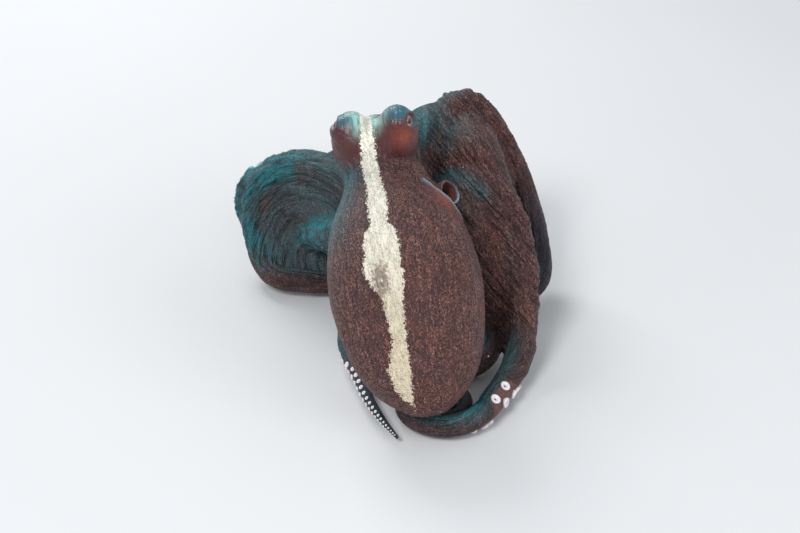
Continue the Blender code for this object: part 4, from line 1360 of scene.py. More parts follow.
class Tree:
    """A small helper that makes and links the nodes of one tree."""

    def __init__(self, tree: NodeTree) -> None:
        """Keeps the tree."""
        self.tree = tree

    def feed(self, node: Node, inputs: dict) -> None:
        """Feeds a node's sockets.

        Args:
            node: The node.
            inputs: What feeds each socket: a plain value, or what another node gives out.
        """
        for name, value in inputs.items():
            if isinstance(value, Value):
                self.tree.links.new(value.socket, node.inputs[name])
            else:
                node.inputs[name].default_value = value

    def node(self, kind: str, inputs: dict | None = None, **settings: object) -> Node:
        """Adds a node.

        Args:
            kind: The node's type.
            inputs: What feeds its sockets.
            settings: The node's own properties.

        Returns:
            The node.
        """
        made = self.tree.nodes.new(kind)
        for name, value in settings.items():
            setattr(made, name, value)
        self.feed(made, inputs or {})
        return made

    def outputs(self, node: Node) -> Outputs:
        """Gives a node's outputs by name."""
        return {socket.name: Value(self, socket) for socket in node.outputs}

    def out(self, key: int | str, kind: str, inputs: dict | None = None, **settings: object) -> Value:
        """Adds a node and gives one of its outputs."""
        return Value(self, self.node(kind, inputs, **settings).outputs[key])

    def math(self, operation: str, *values: Value | float, clamp: bool = False) -> Value:
        """Adds a Math node."""
        return self.out(0, "ShaderNodeMath", dict(enumerate(values)), operation=operation, use_clamp=clamp)

    def vector(self, operation: str, inputs: dict, key: int | str = 0) -> Value:
        """Adds a Vector Math node."""
        return self.out(key, "ShaderNodeVectorMath", inputs, operation=operation)

    def noise(self, place: Value, scale: Value | float, detail: float, **more: object) -> Value:
        """Adds a Noise Texture node, with further inputs by name."""
        return self.out(0, "ShaderNodeTexNoise", {"Vector": place, "Scale": scale, "Detail": detail, **more})

    def cells(self, place: Value, scale: Value | float,
              randomness: float = 1.0) -> tuple[Value, Value, Value]:
        """Adds cells.

        Args:
            place: The coordinates.
            scale: How many cells there are to a metre.
            randomness: How uneven they are.

        Returns:
            The distance from the nearest cell's middle, and two numbers picked for that cell.
        """
        inputs = {"Vector": place, "Scale": scale, "Randomness": randomness}
        made = self.outputs(self.node("ShaderNodeTexVoronoi", inputs, feature="F1"))
        picked = self.node("ShaderNodeSeparateColor", {0: made["Color"]})
        return made["Distance"], Value(self, picked.outputs[0]), Value(self, picked.outputs[1])

    def mixed(self, factor: object, first: object, second: object) -> Value:
        """Adds a colour Mix node."""
        return self.out(2, "ShaderNodeMix", {0: factor, 6: first, 7: second}, data_type="RGBA")

    def layered(self, base: Value, *layers: tuple[Value, object]) -> Value:
        """Lays colours over a base one after another, each by its own share."""
        for share, colour in layers:
            base = self.mixed(share, base, colour)
        return base

    def attribute(self, name: str) -> Value:
        """Reads one number a point from the mesh."""
        return self.out("Fac", "ShaderNodeAttribute", attribute_name=name)

    def group(self, group: NodeTree, inputs: dict) -> Outputs:
        """Places a node group and gives its outputs by name."""
        return self.outputs(self.node("ShaderNodeGroup", inputs, node_tree=group))

    def bump(self, height: Value, strength: float, distance: float) -> Value:
        """Adds a Bump node."""
        return self.out(0, "ShaderNodeBump", {"Height": height, "Strength": strength, "Distance": distance})


def start_material(name: str) -> tuple[Material, Tree, Node, Value]:
    """Starts a material.

    Args:
        name: Its name.

    Returns:
        The material, its tree, its shader node and its Object coordinates.
    """
    material = bpy.data.materials.new(name)
    material.use_nodes = True
    tree = Tree(material.node_tree)
    shader = material.node_tree.nodes["Principled BSDF"]
    return material, tree, shader, tree.out("Object", "ShaderNodeTexCoord")


def start_group(name: str, inputs: dict[str, float], outputs: tuple[str, ...]) -> tuple[Tree, Outputs, Node]:
    """Starts a shader node group that works on coordinates.

    Args:
        name: The group's name.
        inputs: Its number inputs and their values.
        outputs: The names of its number outputs.

    Returns:
        The helper that fills it, what the group is given, and the node that its outputs feed.
    """
    group = bpy.data.node_groups.new(name, "ShaderNodeTree")
    group.interface.new_socket("Vector", in_out="INPUT", socket_type="NodeSocketVector")
    for key, value in inputs.items():
        group.interface.new_socket(key, in_out="INPUT", socket_type="NodeSocketFloat").default_value = value
    for key in outputs:
        group.interface.new_socket(key, in_out="OUTPUT", socket_type="NodeSocketFloat")
    tree = Tree(group)
    return tree, tree.outputs(tree.node("NodeGroupInput")), tree.node("NodeGroupOutput")


class SharedEffects:
    """The node groups that several skins use."""

    def __init__(self) -> None:
        """Builds each group once."""
        self.granules = self.make_granules()
        self.mottle = self.make_mottle()
        self.wrinkles = self.make_wrinkles()

    @staticmethod
    def make_granules() -> NodeTree:
        """Builds fine granules: rounded grains, the dark net between them, and a pick per grain."""
        tree, given, end = start_group("granules", {"Grains per metre": 900.0, "Wander": 0.0006},
                                       ("Height", "Net", "Pick"))
        warp = {"Vector": given["Vector"], "Scale": 300.0, "Detail": 2.0}
        warped = tree.out("Color", "ShaderNodeTexNoise", warp)
        centred = tree.vector("SUBTRACT", {0: warped, 1: (0.5, 0.5, 0.5)})
        pushed = tree.vector("SCALE", {0: centred, 3: given["Wander"]})
        place = tree.vector("ADD", {0: given["Vector"], 1: pushed})
        away, pick, _ = tree.cells(place, given["Grains per metre"], 0.92)
        height, net = away.range(0.10, 0.72, 1.0, 0.0), away.range(0.38, 0.80)
        tree.feed(end, {"Height": height, "Net": net, "Pick": pick})
        return tree.tree

    @staticmethod
    def make_wrinkles() -> NodeTree:
        """Builds long wrinkles that keep to lines of equal distance across the skin's flow."""
        inputs = {"Across": 0.0, "Lines per mm": 0.3, "Change per metre": 26.0}
        tree, given, end = start_group("wrinkles", inputs, ("Groove", "Height"))
        slow = tree.vector("SCALE", {0: given["Vector"], 3: given["Change per metre"]})
        noise = {"Vector": slow, "W": given["Across"] * given["Lines per mm"], "Scale": 1.0, "Detail": 1.0,
                 "Roughness": 0.4}
        off = abs(tree.out(0, "ShaderNodeTexNoise", noise, noise_dimensions="4D") - 0.5)
        tree.feed(end, {"Groove": off.range(0.0, 0.045, 1.0, 0.0), "Height": off.range(0.0, 0.16)})
        return tree.tree

    @staticmethod
    def make_mottle() -> NodeTree:
        """Builds soft clouds of two sizes."""
        tree, given, end = start_group("mottle", {"Clouds per metre": 45.0, "Low": 0.35, "High": 0.65},
                                       ("Cloud", "Fine"))
        cloud = tree.noise(given["Vector"], given["Clouds per metre"], 5.0, Roughness=0.62, Distortion=0.6)
        fine = tree.noise(given["Vector"], 420.0, 4.0, Roughness=0.7)
        tree.feed(end, {"Cloud": cloud.range(given["Low"], given["High"]), "Fine": fine})
        return tree.tree


@dataclass(frozen=True)
class Patterns:
    """What the skin's colours are mixed from."""

    tree: Tree
    grains: Outputs
    clouds: Outputs
    blotches: Outputs
    threads: Value
    place: Value


@dataclass(frozen=True)
class SkinFinish:
    """Moist granular octopus skin, from its masks and its own colours."""

    name: str = "octopus_skin"
    dark: Colour = (0.012, 0.004, 0.006, 1)
    brown: Colour = (0.112, 0.031, 0.022, 1)
    purple: Colour = (0.092, 0.028, 0.032, 1)
    tan: Colour = (0.50, 0.245, 0.175, 1)
    cream: Colour = (0.93, 0.90, 0.78, 1)
    cream_low: Colour = (0.80, 0.68, 0.50, 1)
    cream_shade: Colour = (0.22, 0.20, 0.14, 1)
    # teal: a tint mixed with painted sky light, rim light and highlights; the brighter one goes where the
    # granules are light
    teal: Colour = (0.006, 0.085, 0.110, 1)
    bright_teal: Colour = (0.035, 0.38, 0.42, 1)
    web_dark: Colour = (0.020, 0.016, 0.022, 1)
    turret: Colour = (0.070, 0.014, 0.016, 1)
    # the turrets' blue-teal tops: partly a tint, partly painted light from above
    turret_top: Colour = (0.020, 0.125, 0.165, 1)
    glow: Colour = (0.27, 0.052, 0.022, 1)
    # navy: painted shade on the second right arm behind the web, and the fourth left arm's dark bluish tone
    navy: Colour = (0.010, 0.012, 0.026, 1)
    under: Colour = (0.20, 0.085, 0.075, 1)
    # rim: pale blue of the painted highlight on the collar's lip and on the siphon's lip
    rim: Colour = (0.20, 0.36, 0.42, 1)
    inner: Colour = (0.13, 0.034, 0.024, 1)
    margin: Colour = (0.45, 0.76, 0.76, 1)
    flare: Colour = (0.36, 0.66, 0.58, 1)
    grains_per_metre: float = 1250.0
    # what is left of lengths along the mantle in the granules and in the threads
    grain_share: float = 0.66
    thread_share: float = 0.16
    # clouds per metre, and the noise where clouds start and where they are full
    clouds: tuple[float, float, float] = (42.0, 0.35, 0.65)
    blotches: tuple[float, float, float] = (120.0, 0.46, 0.70)
    # lines per mm across the flow, and how fast they change along it
    broad: tuple[float, float] = (0.30, 26.0)
    fine: tuple[float, float] = (0.85, 60.0)

    def build(self, effects: SharedEffects) -> Material:
        """Builds the material.

        Args:
            effects: The shared node groups.

        Returns:
            The material.
        """
        material, tree, shader, place = start_material(self.name)
        clouds, blotches = (
            tree.group(effects.mottle, {"Vector": place, "Clouds per metre": count, "Low": low, "High": high})
            for count, low, high in (self.clouds, self.blotches))
        grains = tree.group(effects.granules, {"Vector": self.squashed(tree, place, self.grain_share),
                                               "Grains per metre": self.grains_per_metre})
        stretched = self.squashed(tree, place, self.thread_share)
        threads = tree.noise(stretched, 620.0, 2.0, Roughness=0.6).range(0.36, 0.62)
        use = Patterns(tree, grains, clouds, blotches, threads, place)
        broad, fine, sure = self.lines(use, effects)
        turret = tree.attribute("turret")
        calm = 1.0 - turret * 0.85
        web = tree.math("SUBTRACT", calm, tree.attribute("on_mantle") * 0.85, clamp=True)
        folds = broad["Height"] * 2.2 + fine["Height"] - 2.0
        height = (grains["Height"] + threads * 0.5) * calm + folds * web * sure
        tree.feed(shader, {
            "Base Color": self.markings(use, self.shade_grooves(use, self.ground(use), broad, fine, sure)),
            "Roughness": grains["Net"].range(0.0, 1.0, 0.42, 0.62) - turret * 0.14,
            "Specular IOR Level": 0.42,
            "Subsurface Weight": 0.05,
            "Subsurface Radius": (1.0, 0.35, 0.25),
            "Subsurface Scale": 0.0015,
            "Normal": tree.bump(height, 0.9, 0.0005),
        })
        return material

    @staticmethod
    def squashed(tree: Tree, place: Value, share: float) -> Value:
        """Presses coordinates together along the mantle, so that patterns stretch along it.

        Args:
            tree: The material's tree.
            place: The coordinates.
            share: What is left of lengths along the mantle.

        Returns:
            The pressed coordinates.
        """
        axis = tuple(MANTLE.along)
        along = tree.vector("DOT_PRODUCT", {0: place, 1: axis}, "Value")
        shift = tree.vector("SCALE", {0: axis, 3: along * (share - 1.0)})
        return tree.vector("ADD", {0: place, 1: shift})

    def lines(self, use: Patterns, effects: SharedEffects) -> tuple[Outputs, Outputs, Value]:
        """Sets broad and fine wrinkles on the flow of each region.

        Args:
            use: The skin's patterns.
            effects: The shared node groups.

        Returns:
            The broad and the fine wrinkles, and how sure it is which region they follow.
        """
        tree, mask = use.tree, use.tree.attribute
        across, sure = mask("across_back"), 1.0
        regions = {"side_left": "across_left", "side_right": "across_right", "on_mantle": "across_sac"}
        for region, name in regions.items():
            share = mask(region)
            across = across + tree.math("GREATER_THAN", share, 0.5) * (mask(name) - across)
            sure = sure * abs(share - 0.5).range(0.0, 0.3)
        broad, fine = (
            tree.group(effects.wrinkles, {"Vector": use.place, "Across": across, "Lines per mm": count,
                                          "Change per metre": change})
            for count, change in (self.broad, self.fine))
        return broad, fine, sure

    def shade_grooves(self, use: Patterns, base: Value, broad: Outputs, fine: Outputs, sure: Value) -> Value:
        """Paints shade into the wrinkles' grooves, most of all on the web.

        Args:
            use: The skin's patterns.
            base: The skin's colour.
            broad: The broad wrinkles.
            fine: The fine wrinkles.
            sure: How strongly they show.

        Returns:
            The colour.
        """
        plain = sure * (1.0 - use.tree.attribute("turret"))
        web = (1.0 - use.tree.attribute("on_mantle")) * plain
        return use.tree.layered(
            base,
            (broad["Groove"] * (0.12 + web * 0.50), self.dark),
            (fine["Groove"] * (0.22 + web * 0.18) * plain, self.dark),
        )

    def ground(self, use: Patterns) -> Value:
        """Mixes the skin's ground: reddish brown with tan grains, dark net, painted shade in the folds'
        creases, and teal that is partly a tint and partly painted sky light.

        Args:
            use: The skin's patterns.

        Returns:
            The colour.
        """
        tree, grains, threads, mask = use.tree, use.grains, use.threads, use.tree.attribute
        web, right = 1.0 - mask("on_mantle"), mask("side_right")
        streak = mask("streak").range(-1.4, 1.8)
        groove = abs(mask("fold")).range(0.0, 0.55, 1.0, 0.0)
        light = grains["Height"] * grains["Pick"].range(0.15, 0.95, 0.15, 1.0)
        light = light * (0.45 + threads * 0.55) * (0.55 + streak * 0.45) * (1.1 - web * (1.0 - right) * 0.40)
        # the turrets' tops: teal tint and painted light from above
        crown = (mask("eye_top") + (use.clouds["Fine"] - 0.5) * 0.5).range(0.12, 1.25)
        smooth = tree.layered(tree.mixed(crown, self.turret, self.turret_top), (light * 0.10, self.tan))
        # the teal mask's colour: partly a teal tint, partly painted sky light, rim light and highlights
        sheen = tree.mixed(tree.math("ADD", 0.22, light, clamp=True), self.teal, self.bright_teal)
        return tree.layered(
            tree.mixed(use.clouds["Cloud"], self.brown, self.purple),
            (web * (0.42 - right * 0.36), self.web_dark),
            (use.blotches["Cloud"] * 0.16, self.tan),
            (light * 0.85, self.tan),
            ((1.0 - threads) * 0.42, self.dark),
            # painted shade in the creases of the folds
            (groove * (0.08 + web * 0.18), self.dark),
            (grains["Net"] * 0.72, self.dark),
            # painted shade on the outer right arm, and a dark bluish tone on the fourth left arm
            (mask("navy"), self.navy),
            (mask("teal") * streak.range(0.25, 0.75, 0.62, 1.0), sheen),
            (mask("turret") * 0.92, smooth),
        )

    def markings(self, use: Patterns, base: Value) -> Value:
        """Adds the stripe, its flare between the eyes, warm patches, rims and specks.

        Args:
            use: The skin's patterns.
            base: The skin's ground.

        Returns:
            The colour.
        """
        tree, grains, threads, mask = use.tree, use.grains, use.threads, use.tree.attribute
        ragged = use.clouds["Fine"] - 0.5
        edge = mask("stripe") + ragged * 5.0 + (grains["Height"] - 0.6)
        patch = mask("brown_patch") + ragged * 1.5 + (grains["Pick"] - 0.5) * 0.5
        gaps = tree.math("ADD", grains["Net"] * 0.42, (1.0 - threads) * 0.30, clamp=True)
        cream = tree.mixed(mask("yellowed"), self.cream, self.cream_low)
        striped = tree.mixed(gaps, cream, self.cream_shade)
        speck, _, pick = tree.cells(use.place, 110.0)
        return tree.layered(
            base,
            (mask("flare") * threads.range(0.1, 0.9, 0.45, 1.0) * 0.85, self.flare),
            (edge.range(-0.4, 0.7) * patch.range(0.25, 1.0, 1.0, 0.30), striped),
            (mask("warm") * threads.range(0.0, 1.0, 0.6, 0.9), self.glow),
            (mask("under") * 0.85, self.under),
            (mask("funnel"), self.purple),
            (mask("inner"), self.inner),
            # painted highlight on the collar's lip and the siphon's lip
            (mask("rim") * 0.85, self.rim),
            (mask("margin").range(2.2, 3.3, 0.0, 0.6), self.margin),
            (speck.range(0.03, 0.07, 1.0, 0.0) * pick.range(0.80, 0.84), self.cream),
        )


@dataclass(frozen=True)
class SuckerFinish:
    """Pale, moist sucker flesh with a bluish rim."""

    name: str = "sucker_flesh"
    rim: Colour = (0.74, 0.76, 0.80, 1)
    cup: Colour = (0.66, 0.56, 0.56, 1)

    def build(self) -> Material:
        """Builds the material.

        Returns:
            The material.
        """
        material, tree, shader, place = start_material(self.name)
        noise = tree.noise(place, 260.0, 3.0)
        mottled = tree.math("SUBTRACT", tree.attribute("rim"), noise * 0.35, clamp=True)
        tree.feed(shader, {
            "Base Color": tree.mixed(mottled.range(0.05, 0.75), self.cup, self.rim),
            "Roughness": noise.range(0.3, 0.7, 0.28, 0.42),
            "Subsurface Weight": 0.12,
            "Subsurface Radius": (1.0, 0.5, 0.4),
            "Subsurface Scale": 0.002,
            "Normal": tree.bump(noise, 0.35, 0.0004),
        })
        return material


@dataclass
class Suckers:
    """The suckers of one row plan: two rows along each arm's underside, out to the tip."""

    share: float = 0.42
    pitch: float = 1.06
    first: float = 26 * MM
    spread_full: float = 110 * MM
    # where the front arm's suckers stand further apart, and where the outer arm shows its underside
    sparse_from: float = 150 * MM
    sparse: float = 1.7
    shown_place: float = 187.0
    shown_reach: float = 12.0
    sides: int = 10
    # how far along these arms the web covers the suckers that face forward, in mm
    behind_web: dict[str, float] = field(default_factory=lambda: {"arm_l2": 150.0, "arm_l3": 90.0})
    # radius and height of the cup's outline, from its foot over the rim to the pit
    outline: tuple[tuple[float, float], ...] = (
        (0.66, -0.40), (1.00, 0.30), (0.88, 0.50), (0.52, 0.36), (0.20, -0.05),
    )

    def template(self) -> Object:
        """Turns one sucker of unit radius on its axis.

        Returns:
            The sucker, which opens along +Z.
        """
        points, rims = [], []
        count = self.sides
        for radius, height in self.outline:
            for j in range(count):
                angle = 2 * math.pi * j / count
                points.append((radius * math.cos(angle), radius * math.sin(angle), height))
                rims.append(float(smoothstep(0.15, 0.45, height)))
        points.append((0, 0, self.outline[-1][1] - 0.05))
        rims.append(0.0)
        faces = walls(len(self.outline), count)
        last = (len(self.outline) - 1) * count
        faces += [(last + j, last + (j + 1) % count, len(points) - 1) for j in range(count)]
        faces.append(tuple(range(count))[::-1])
        thing = mesh_object("sucker", np.array(points), faces)
        add_masks(thing.data, {"rim": np.array(rims)})
        thing.data.shade_smooth()
        return thing

    def places(self, arm: Arm, skin: BVHTree) -> list[tuple[Array, Array, float]]:
        """Sets suckers along one arm, in two rows that take turns.

        Args:
            arm: The arm.
            skin: The skin's surface, on which the first suckers sit.

        Returns:
            For each sucker its foot, its turn about X, Y and Z, and its radius.
        """
        found = []
        s, k = self.first, 0
        while s < arm.length - 1.2 * MM:
            radius = float(arm.radius(s))
            rim = self.share * radius
            step = self.pitch * rim * (1.0 if s > self.spread_full else 1.25)
            if arm.name == "arm_l4" and s > self.sparse_from:
                step *= self.sparse
            if arm.name == "arm_r3":
                shown = math.exp(-((s / MM - self.shown_place) / self.shown_reach) ** 4)
                rim *= 1 + 0.05 * shown
                step *= 1 + 1.0 * shown
            along, side, up = arm.frame(s, MOUTH)
            spread = math.radians(arm.sucker_spread) * min(1.0, s / self.spread_full)
            sign = 1 if k % 2 else -1
            out = -math.cos(spread) * up + sign * math.sin(spread) * side
            foot = arm.at(s) + out * radius * 0.88
            s += step
            k += 1
            if s < arm.first_cut * MM + 6 * MM:
                place, normal, _, gap = skin.find_nearest(foot + out * radius * 0.2)
                if gap > 2.6 * MM or normal.dot(Vector(out)) < 0.5:
                    continue
                foot = np.array(place) - 0.25 * MM * np.array(normal)
                out = unit(out + np.array(normal))
            along = unit(along - out * (along @ out))
            matrix = Matrix((along, np.cross(out, along), out)).transposed()
            if s > self.behind_web.get(arm.name, 0) * MM or out[1] > 0.6:
                found.append((foot, np.array(matrix.to_euler()), rim))
        return found

    def tree(self, template: Object, material: Material) -> NodeTree:
        """Builds the node tree that sets the suckers.

        Args:
            template: The one sucker.
            material: Its material.

        Returns:
            The tree, with inputs for size, unevenness and seed.
        """
        group = bpy.data.node_groups.new("set_suckers", "GeometryNodeTree")
        face = group.interface
        face.new_socket("Geometry", in_out="INPUT", socket_type="NodeSocketGeometry")
        for name, value in (("Size", 1.0), ("Unevenness", 0.12)):
            face.new_socket(name, in_out="INPUT", socket_type="NodeSocketFloat").default_value = value
        face.new_socket("Seed", in_out="INPUT", socket_type="NodeSocketInt").default_value = SEED
        face.new_socket("Geometry", in_out="OUTPUT", socket_type="NodeSocketGeometry")
        tree = Tree(group)
        given = tree.outputs(tree.node("NodeGroupInput"))
        named = "GeometryNodeInputNamedAttribute"
        limits = {2: 1.0 - given["Unevenness"], 3: 1.0, "Seed": given["Seed"]}
        chance = tree.out(1, "FunctionNodeRandomValue", limits, data_type="FLOAT")
        size = tree.out(0, named, {"Name": "size"}, data_type="FLOAT")
        on_points = tree.out(0, "GeometryNodeInstanceOnPoints", {
            "Points": given["Geometry"],
            "Instance": tree.out("Geometry", "GeometryNodeObjectInfo", {"Object": template}),
            "Rotation": tree.out(0, named, {"Name": "turn"}, data_type="FLOAT_VECTOR"),
            "Scale": size * (chance * given["Size"]),
        })
        real = tree.out(0, "GeometryNodeRealizeInstances", {"Geometry": on_points})
        dressed = tree.out(0, "GeometryNodeSetMaterial", {"Geometry": real, "Material": material})
        tree.feed(tree.node("NodeGroupOutput"), {"Geometry": dressed})
        return group

    def build(self, name: str, arms: tuple[Arm, ...], skin: BVHTree, material: Material) -> Object:
        """Sets the suckers of some arms.

        Args:
            name: The piece's name.
            arms: The arms.
            skin: The skin's surface.
            material: The suckers' material.

        Returns:
            One plain mesh of all their suckers.
        """
        found = [place for arm in arms for place in self.places(arm, skin)]
        holder = mesh_object(name, np.array([p[0] for p in found]), [])
        turn = holder.data.attributes.new("turn", "FLOAT_VECTOR", "POINT")
        turn.data.foreach_set("vector", np.array([p[1] for p in found], np.float32).ravel())
        add_masks(holder.data, {"size": np.array([p[2] for p in found])})
        template = self.template()
        group = self.tree(template, material)
        nodes = holder.modifiers.new("suckers", "NODES")
        nodes.node_group = group
        sockets = {s.name: s.identifier for s in group.interface.items_tree if s.in_out == "INPUT"}
        for socket, value in (("Size", 1.0), ("Unevenness", 0.12), ("Seed", SEED)):
            nodes[sockets[socket]] = value
        applied(holder)
        press_on_floor(holder.data)
        bpy.data.objects.remove(template, do_unlink=True)
        holder.data.shade_smooth()
        LOG.info("%s: %d suckers", name, len(found))
        return holder


@dataclass(frozen=True)
class EyeFinish:
    """A wet eyeball: a level black slit in a coppery iris, dark towards the rim."""

    name: str = "eye"
    iris: Colour = (0.12, 0.028, 0.022, 1)
    fleck: Colour = (0.50, 0.21, 0.16, 1)
    rim: Colour = (0.035, 0.010, 0.012, 1)
    black: Colour = (0.002, 0.002, 0.003, 1)

    def build(self) -> Material:
        """Builds the material from the mesh's own pupil and edge measures.

        Returns:
            The material.
        """
        material, tree, shader, place = start_material(self.name)
        pupil, noise = tree.attribute("pupil"), tree.noise(place, 700.0, 4.0)
        patches = noise.range(0.36, 0.60) * pupil.range(1.1, 2.6, 1.0, 0.0)
        colour = tree.layered(
            tree.mixed(patches, self.iris, self.fleck),
            (tree.attribute("edge").range(0.55, 0.95), self.rim),
            (pupil.range(0.92, 1.02, 1.0, 0.0), self.black),
        )
        tree.feed(shader, {"Base Color": colour, "Roughness": noise.range(0.2, 0.8, 0.10, 0.20),
                           "Coat Weight": 1.0, "Coat Roughness": 0.03})
        return material


@dataclass
class EyeBalls:
    """The two eyeballs with a slit pupil each."""

    pupil_long: float = 28.0
    pupil_short: float = 10.5

    def build(self, eye: Eye, material: Material) -> Object:
        """Builds one ball.

        Args:
            eye: The eye.
            material: Its material.

        Returns:
            The closed ball with its pupil's measures.
        """
        rings = []
        across = circle(56, eye.level, eye.upright)
        for polar in np.linspace(0, math.pi, 42)[1:-1]:
            direction = math.cos(polar) * eye.axis + math.sin(polar) * across
            bulge = 1 + 0.035 * math.exp(-((math.degrees(polar)) / 34) ** 2)
            rings.append(eye.middle + eye.radius * bulge * direction)
        ball = tube(eye.name + "_ball", rings)
        offset = coordinates(ball.data) - eye.middle
        level, height = offset @ eye.level, offset @ eye.upright
        angle = np.degrees(np.arctan2(np.hypot(level, height), offset @ eye.axis))
        around = np.arctan2(height, level)
        reach = 1 / np.hypot(np.cos(around) / self.pupil_long, np.sin(around) / self.pupil_short)
        add_masks(ball.data, {"pupil": angle / reach, "edge": angle / 46.0})
        ball.data.materials.append(material)
        ball.data.shade_smooth()
        return ball


@dataclass
class Siphon:
    """The siphon: a bent, narrowing pipe with a flared, open mouth."""

    path: tuple[Point, ...] = ((8, 104, 84), (17, 97, 90.5), (25.5, 89.5, 96.5))
    radii: tuple[float, ...] = (6.0, 5.6, 6.7)
    bore: tuple[float, ...] = (2.4, 3.2, 5.7)
    # the way that the lip's painted highlight faces
    highlight_side: Point = (1.0, -0.35, -0.2)
    sides: int = 36

    def build(self) -> Object:
        """Builds the pipe with its bore and rolled lip."""
        path = smooth_curve(placed(self.path), 20)
        tangents = unit(np.gradient(path, axis=0))
        shares = np.linspace(0, 1, len(path))
        radii = np.interp(shares, (0, 0.55, 1), self.radii) * MM
        bores = np.interp(shares, (0, 0.55, 1), self.bore) * MM
        rings = [self.ring(c, t, r, w) for c, t, r, w in zip(path, tangents, radii, shares)]
        outer = len(rings)
        middle, roll = (radii[-1] + bores[-1]) / 2, (radii[-1] - bores[-1]) / 2
        for turn in (0.2, 0.4, 0.6, 0.8, 1.0):
            angle = math.pi * turn
            rings.append(self.ring(path[-1] + tangents[-1] * roll * math.sin(angle), tangents[-1],
                                   middle + roll * math.cos(angle), 1.0))
        lip = len(rings)
        for i in range(len(path) - 2, len(path) // 3, -2):
            rings.append(self.ring(path[i], tangents[i], bores[i], shares[i]))
        pipe = tube("siphon_pipe", rings)
        count = len(pipe.data.vertices)
        row = np.minimum(np.arange(count) // self.sides, len(rings) - 1)
        # painted highlight: the lip's rim is paler on one side, the one that faces the given way
        aside = (coordinates(pipe.data) - path[-1]) @ unit(self.highlight_side)
        pale = 0.12 + 0.78 * fade(0.5, 4.5, aside)
        add_masks(pipe.data, {"rim": ((row >= outer) & (row < lip)) * pale, "inner": (row >= lip) * 0.6,
                                   "stripe": -6.0, "on_mantle": 0.6, "funnel": 0.45})
        pipe.data.shade_smooth()
        return pipe

    def ring(self, centre: Array, axis: Array, radius: float, share: float) -> Array:
        """Makes a ring about an axis, three-cornered towards the mouth.

        Args:
            centre: The ring's middle.
            axis: The pipe's direction there.
            radius: The ring's mean radius.
            share: 0 at the pipe's root and 1 at its mouth.

        Returns:
            The ring's points.
        """
        angles = round_angles(self.sides)
        wave = 1 + 0.10 * share**2 * np.cos(3 * (angles - 0.5)) + 0.02 * share * np.cos(5 * angles + 1)
        return centre + radius * wave * round_axis(self.sides, axis)


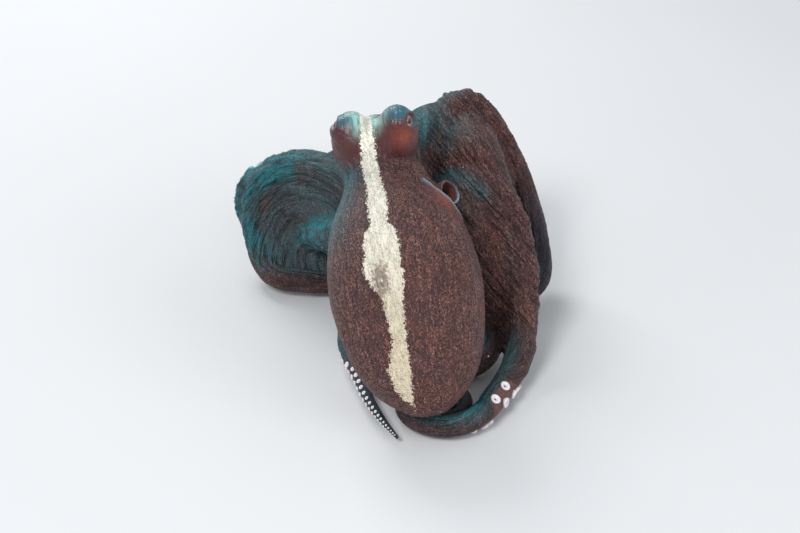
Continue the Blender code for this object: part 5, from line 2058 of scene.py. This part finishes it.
@dataclass
class Studio:
    """The pale floor, the soft lights and the camera."""

    target: Point = (0, 70, 64.1)
    distance: float = 0.8
    elevation: float = 30.0
    metres_per_pixel: float = 0.52 * MM
    width: int = 800
    sensor: float = 36.0
    floor_size: float = 6.0
    floor_below: float = 0.2 * MM
    floor_near: tuple[Colour, Colour] = ((0.62, 0.63, 0.64, 1), (0.66, 0.67, 0.68, 1))
    # painted light: the floor turns this pale away from the middle, where the lamps light it less
    floor_far: Colour = (0.92, 0.93, 0.94, 1)
    sky: Colour = (0.80, 0.84, 0.88, 1)
    sky_strength: float = 0.62
    # name, place from the target in metres, edge length in metres, and power in watts
    lights: tuple[tuple[str, Point, float, float], ...] = (
        ("key", (-0.55, -0.95, 1.15), 0.50, 15.0),
        ("fill", (1.05, -0.75, 0.55), 0.8, 6.5),
        ("back", (-0.45, 0.95, 0.85), 0.6, 9.0),
    )

    def build(self) -> None:
        """Builds floor, lights, world and camera."""
        self.floor()
        centre = metres(self.target)
        for name, offset, size, power in self.lights:
            self.light(name, centre, offset, size, power)
        world = bpy.data.worlds.new("studio")
        world.use_nodes = True
        background = world.node_tree.nodes["Background"]
        Tree(world.node_tree).feed(background, {0: self.sky, 1: self.sky_strength})
        bpy.context.scene.world = world
        bpy.context.scene.view_settings.view_transform = "Standard"
        self.camera(centre)

    def floor(self) -> None:
        """Lays a pale floor with a faint random tone, painted paler away from the middle where the lamps'
        light falls off.
        """
        half = self.floor_size / 2
        corners = np.array([(-half, -half, 0), (half, -half, 0), (half, half, 0), (-half, half, 0)])
        floor = mesh_object("floor", corners - (0, 0, self.floor_below), [(0, 1, 2, 3)])
        material, tree, shader, place = start_material("pale_floor")
        near = tree.mixed(tree.noise(place, 3.0, 2.0), *self.floor_near)
        # painted light: paler with distance, standing in for the lamps' light
        away = tree.vector("LENGTH", {0: place}, "Value").range(0.5, 2.6)
        tree.feed(shader, {"Base Color": tree.mixed(away, near, self.floor_far), "Roughness": 0.8})
        floor.data.materials.append(material)

    @staticmethod
    def light(name: str, centre: Array, offset: Point, size: float, power: float) -> None:
        """Sets one soft square light that faces the model.

        Args:
            name: The light's name.
            centre: What it faces.
            offset: Where it hangs from there, in metres.
            size: Its edge length in metres.
            power: Its power in watts.
        """
        lamp = bpy.data.lights.new(name, "AREA")
        lamp.size = size
        lamp.energy = power
        thing = linked(name, lamp)
        thing.location = Vector(centre) + Vector(offset)
        thing.rotation_euler = (-Vector(offset)).to_track_quat("-Z", "Y").to_euler()

    def camera(self, centre: Array) -> None:
        """Sets the camera at the photo's angle and framing."""
        slope = math.radians(self.elevation)
        ahead = Vector((0, math.cos(slope), -math.sin(slope)))
        camera = linked("camera", bpy.data.cameras.new("camera"))
        camera.data.sensor_width = self.sensor
        camera.data.lens = self.sensor * self.distance / (self.metres_per_pixel * self.width)
        camera.location = Vector(centre) - ahead * self.distance
        camera.rotation_euler = ahead.to_track_quat("-Z", "Y").to_euler()
        bpy.context.scene.camera = camera


def hand_over(piece: Object, nodes: list[str]) -> None:
    """Lets a piece ride on the model's body and stand for its solids.

    Args:
        piece: The piece.
        nodes: The solids that it replaces.
    """
    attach(piece, "root")
    if nodes:
        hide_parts(*nodes)
    LOG.info("%s: %d triangles", piece.name, sum(len(face.vertices) - 2 for face in piece.data.polygons))


def main() -> None:
    """Builds the whole model piece by piece."""
    logging.basicConfig(level=logging.INFO, format="%(message)s")
    names = sorted(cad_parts)
    bases = [n for n in names if n.endswith("_base")]
    lengths = [n for n in names if n.startswith("arm_") and n not in bases and n != "arm_crown"]
    effects = SharedEffects()
    skin_material = SkinFinish().build(effects)
    skin = Skin().build()
    for piece, finish, nodes in (
            (skin, Slot.MANTLE, ["mantle", "head", "arm_crown"] + bases),
            (FreeArms().build(), Slot.ARM, lengths), (Siphon().build(), Slot.SIPHON, ["siphon"])):
        piece.data.materials.clear()
        piece.data.materials.append(skin_material)
        hand_over(piece, nodes)
    sucker_material = SuckerFinish().build()
    suckers = Suckers()
    surface = BVHTree.FromObject(skin, bpy.context.evaluated_depsgraph_get())
    for name, some in (("suckers_right", ARMS[:4]), ("suckers_left", ARMS[4:])):
        hand_over(suckers.build(name, some, surface, sucker_material), [])
    eye_material = EyeFinish().build()
    for eye in EYES:
        hand_over(EyeBalls().build(eye, eye_material), [eye.name])
    Studio().build()


if __name__ == "__main__":
    main()
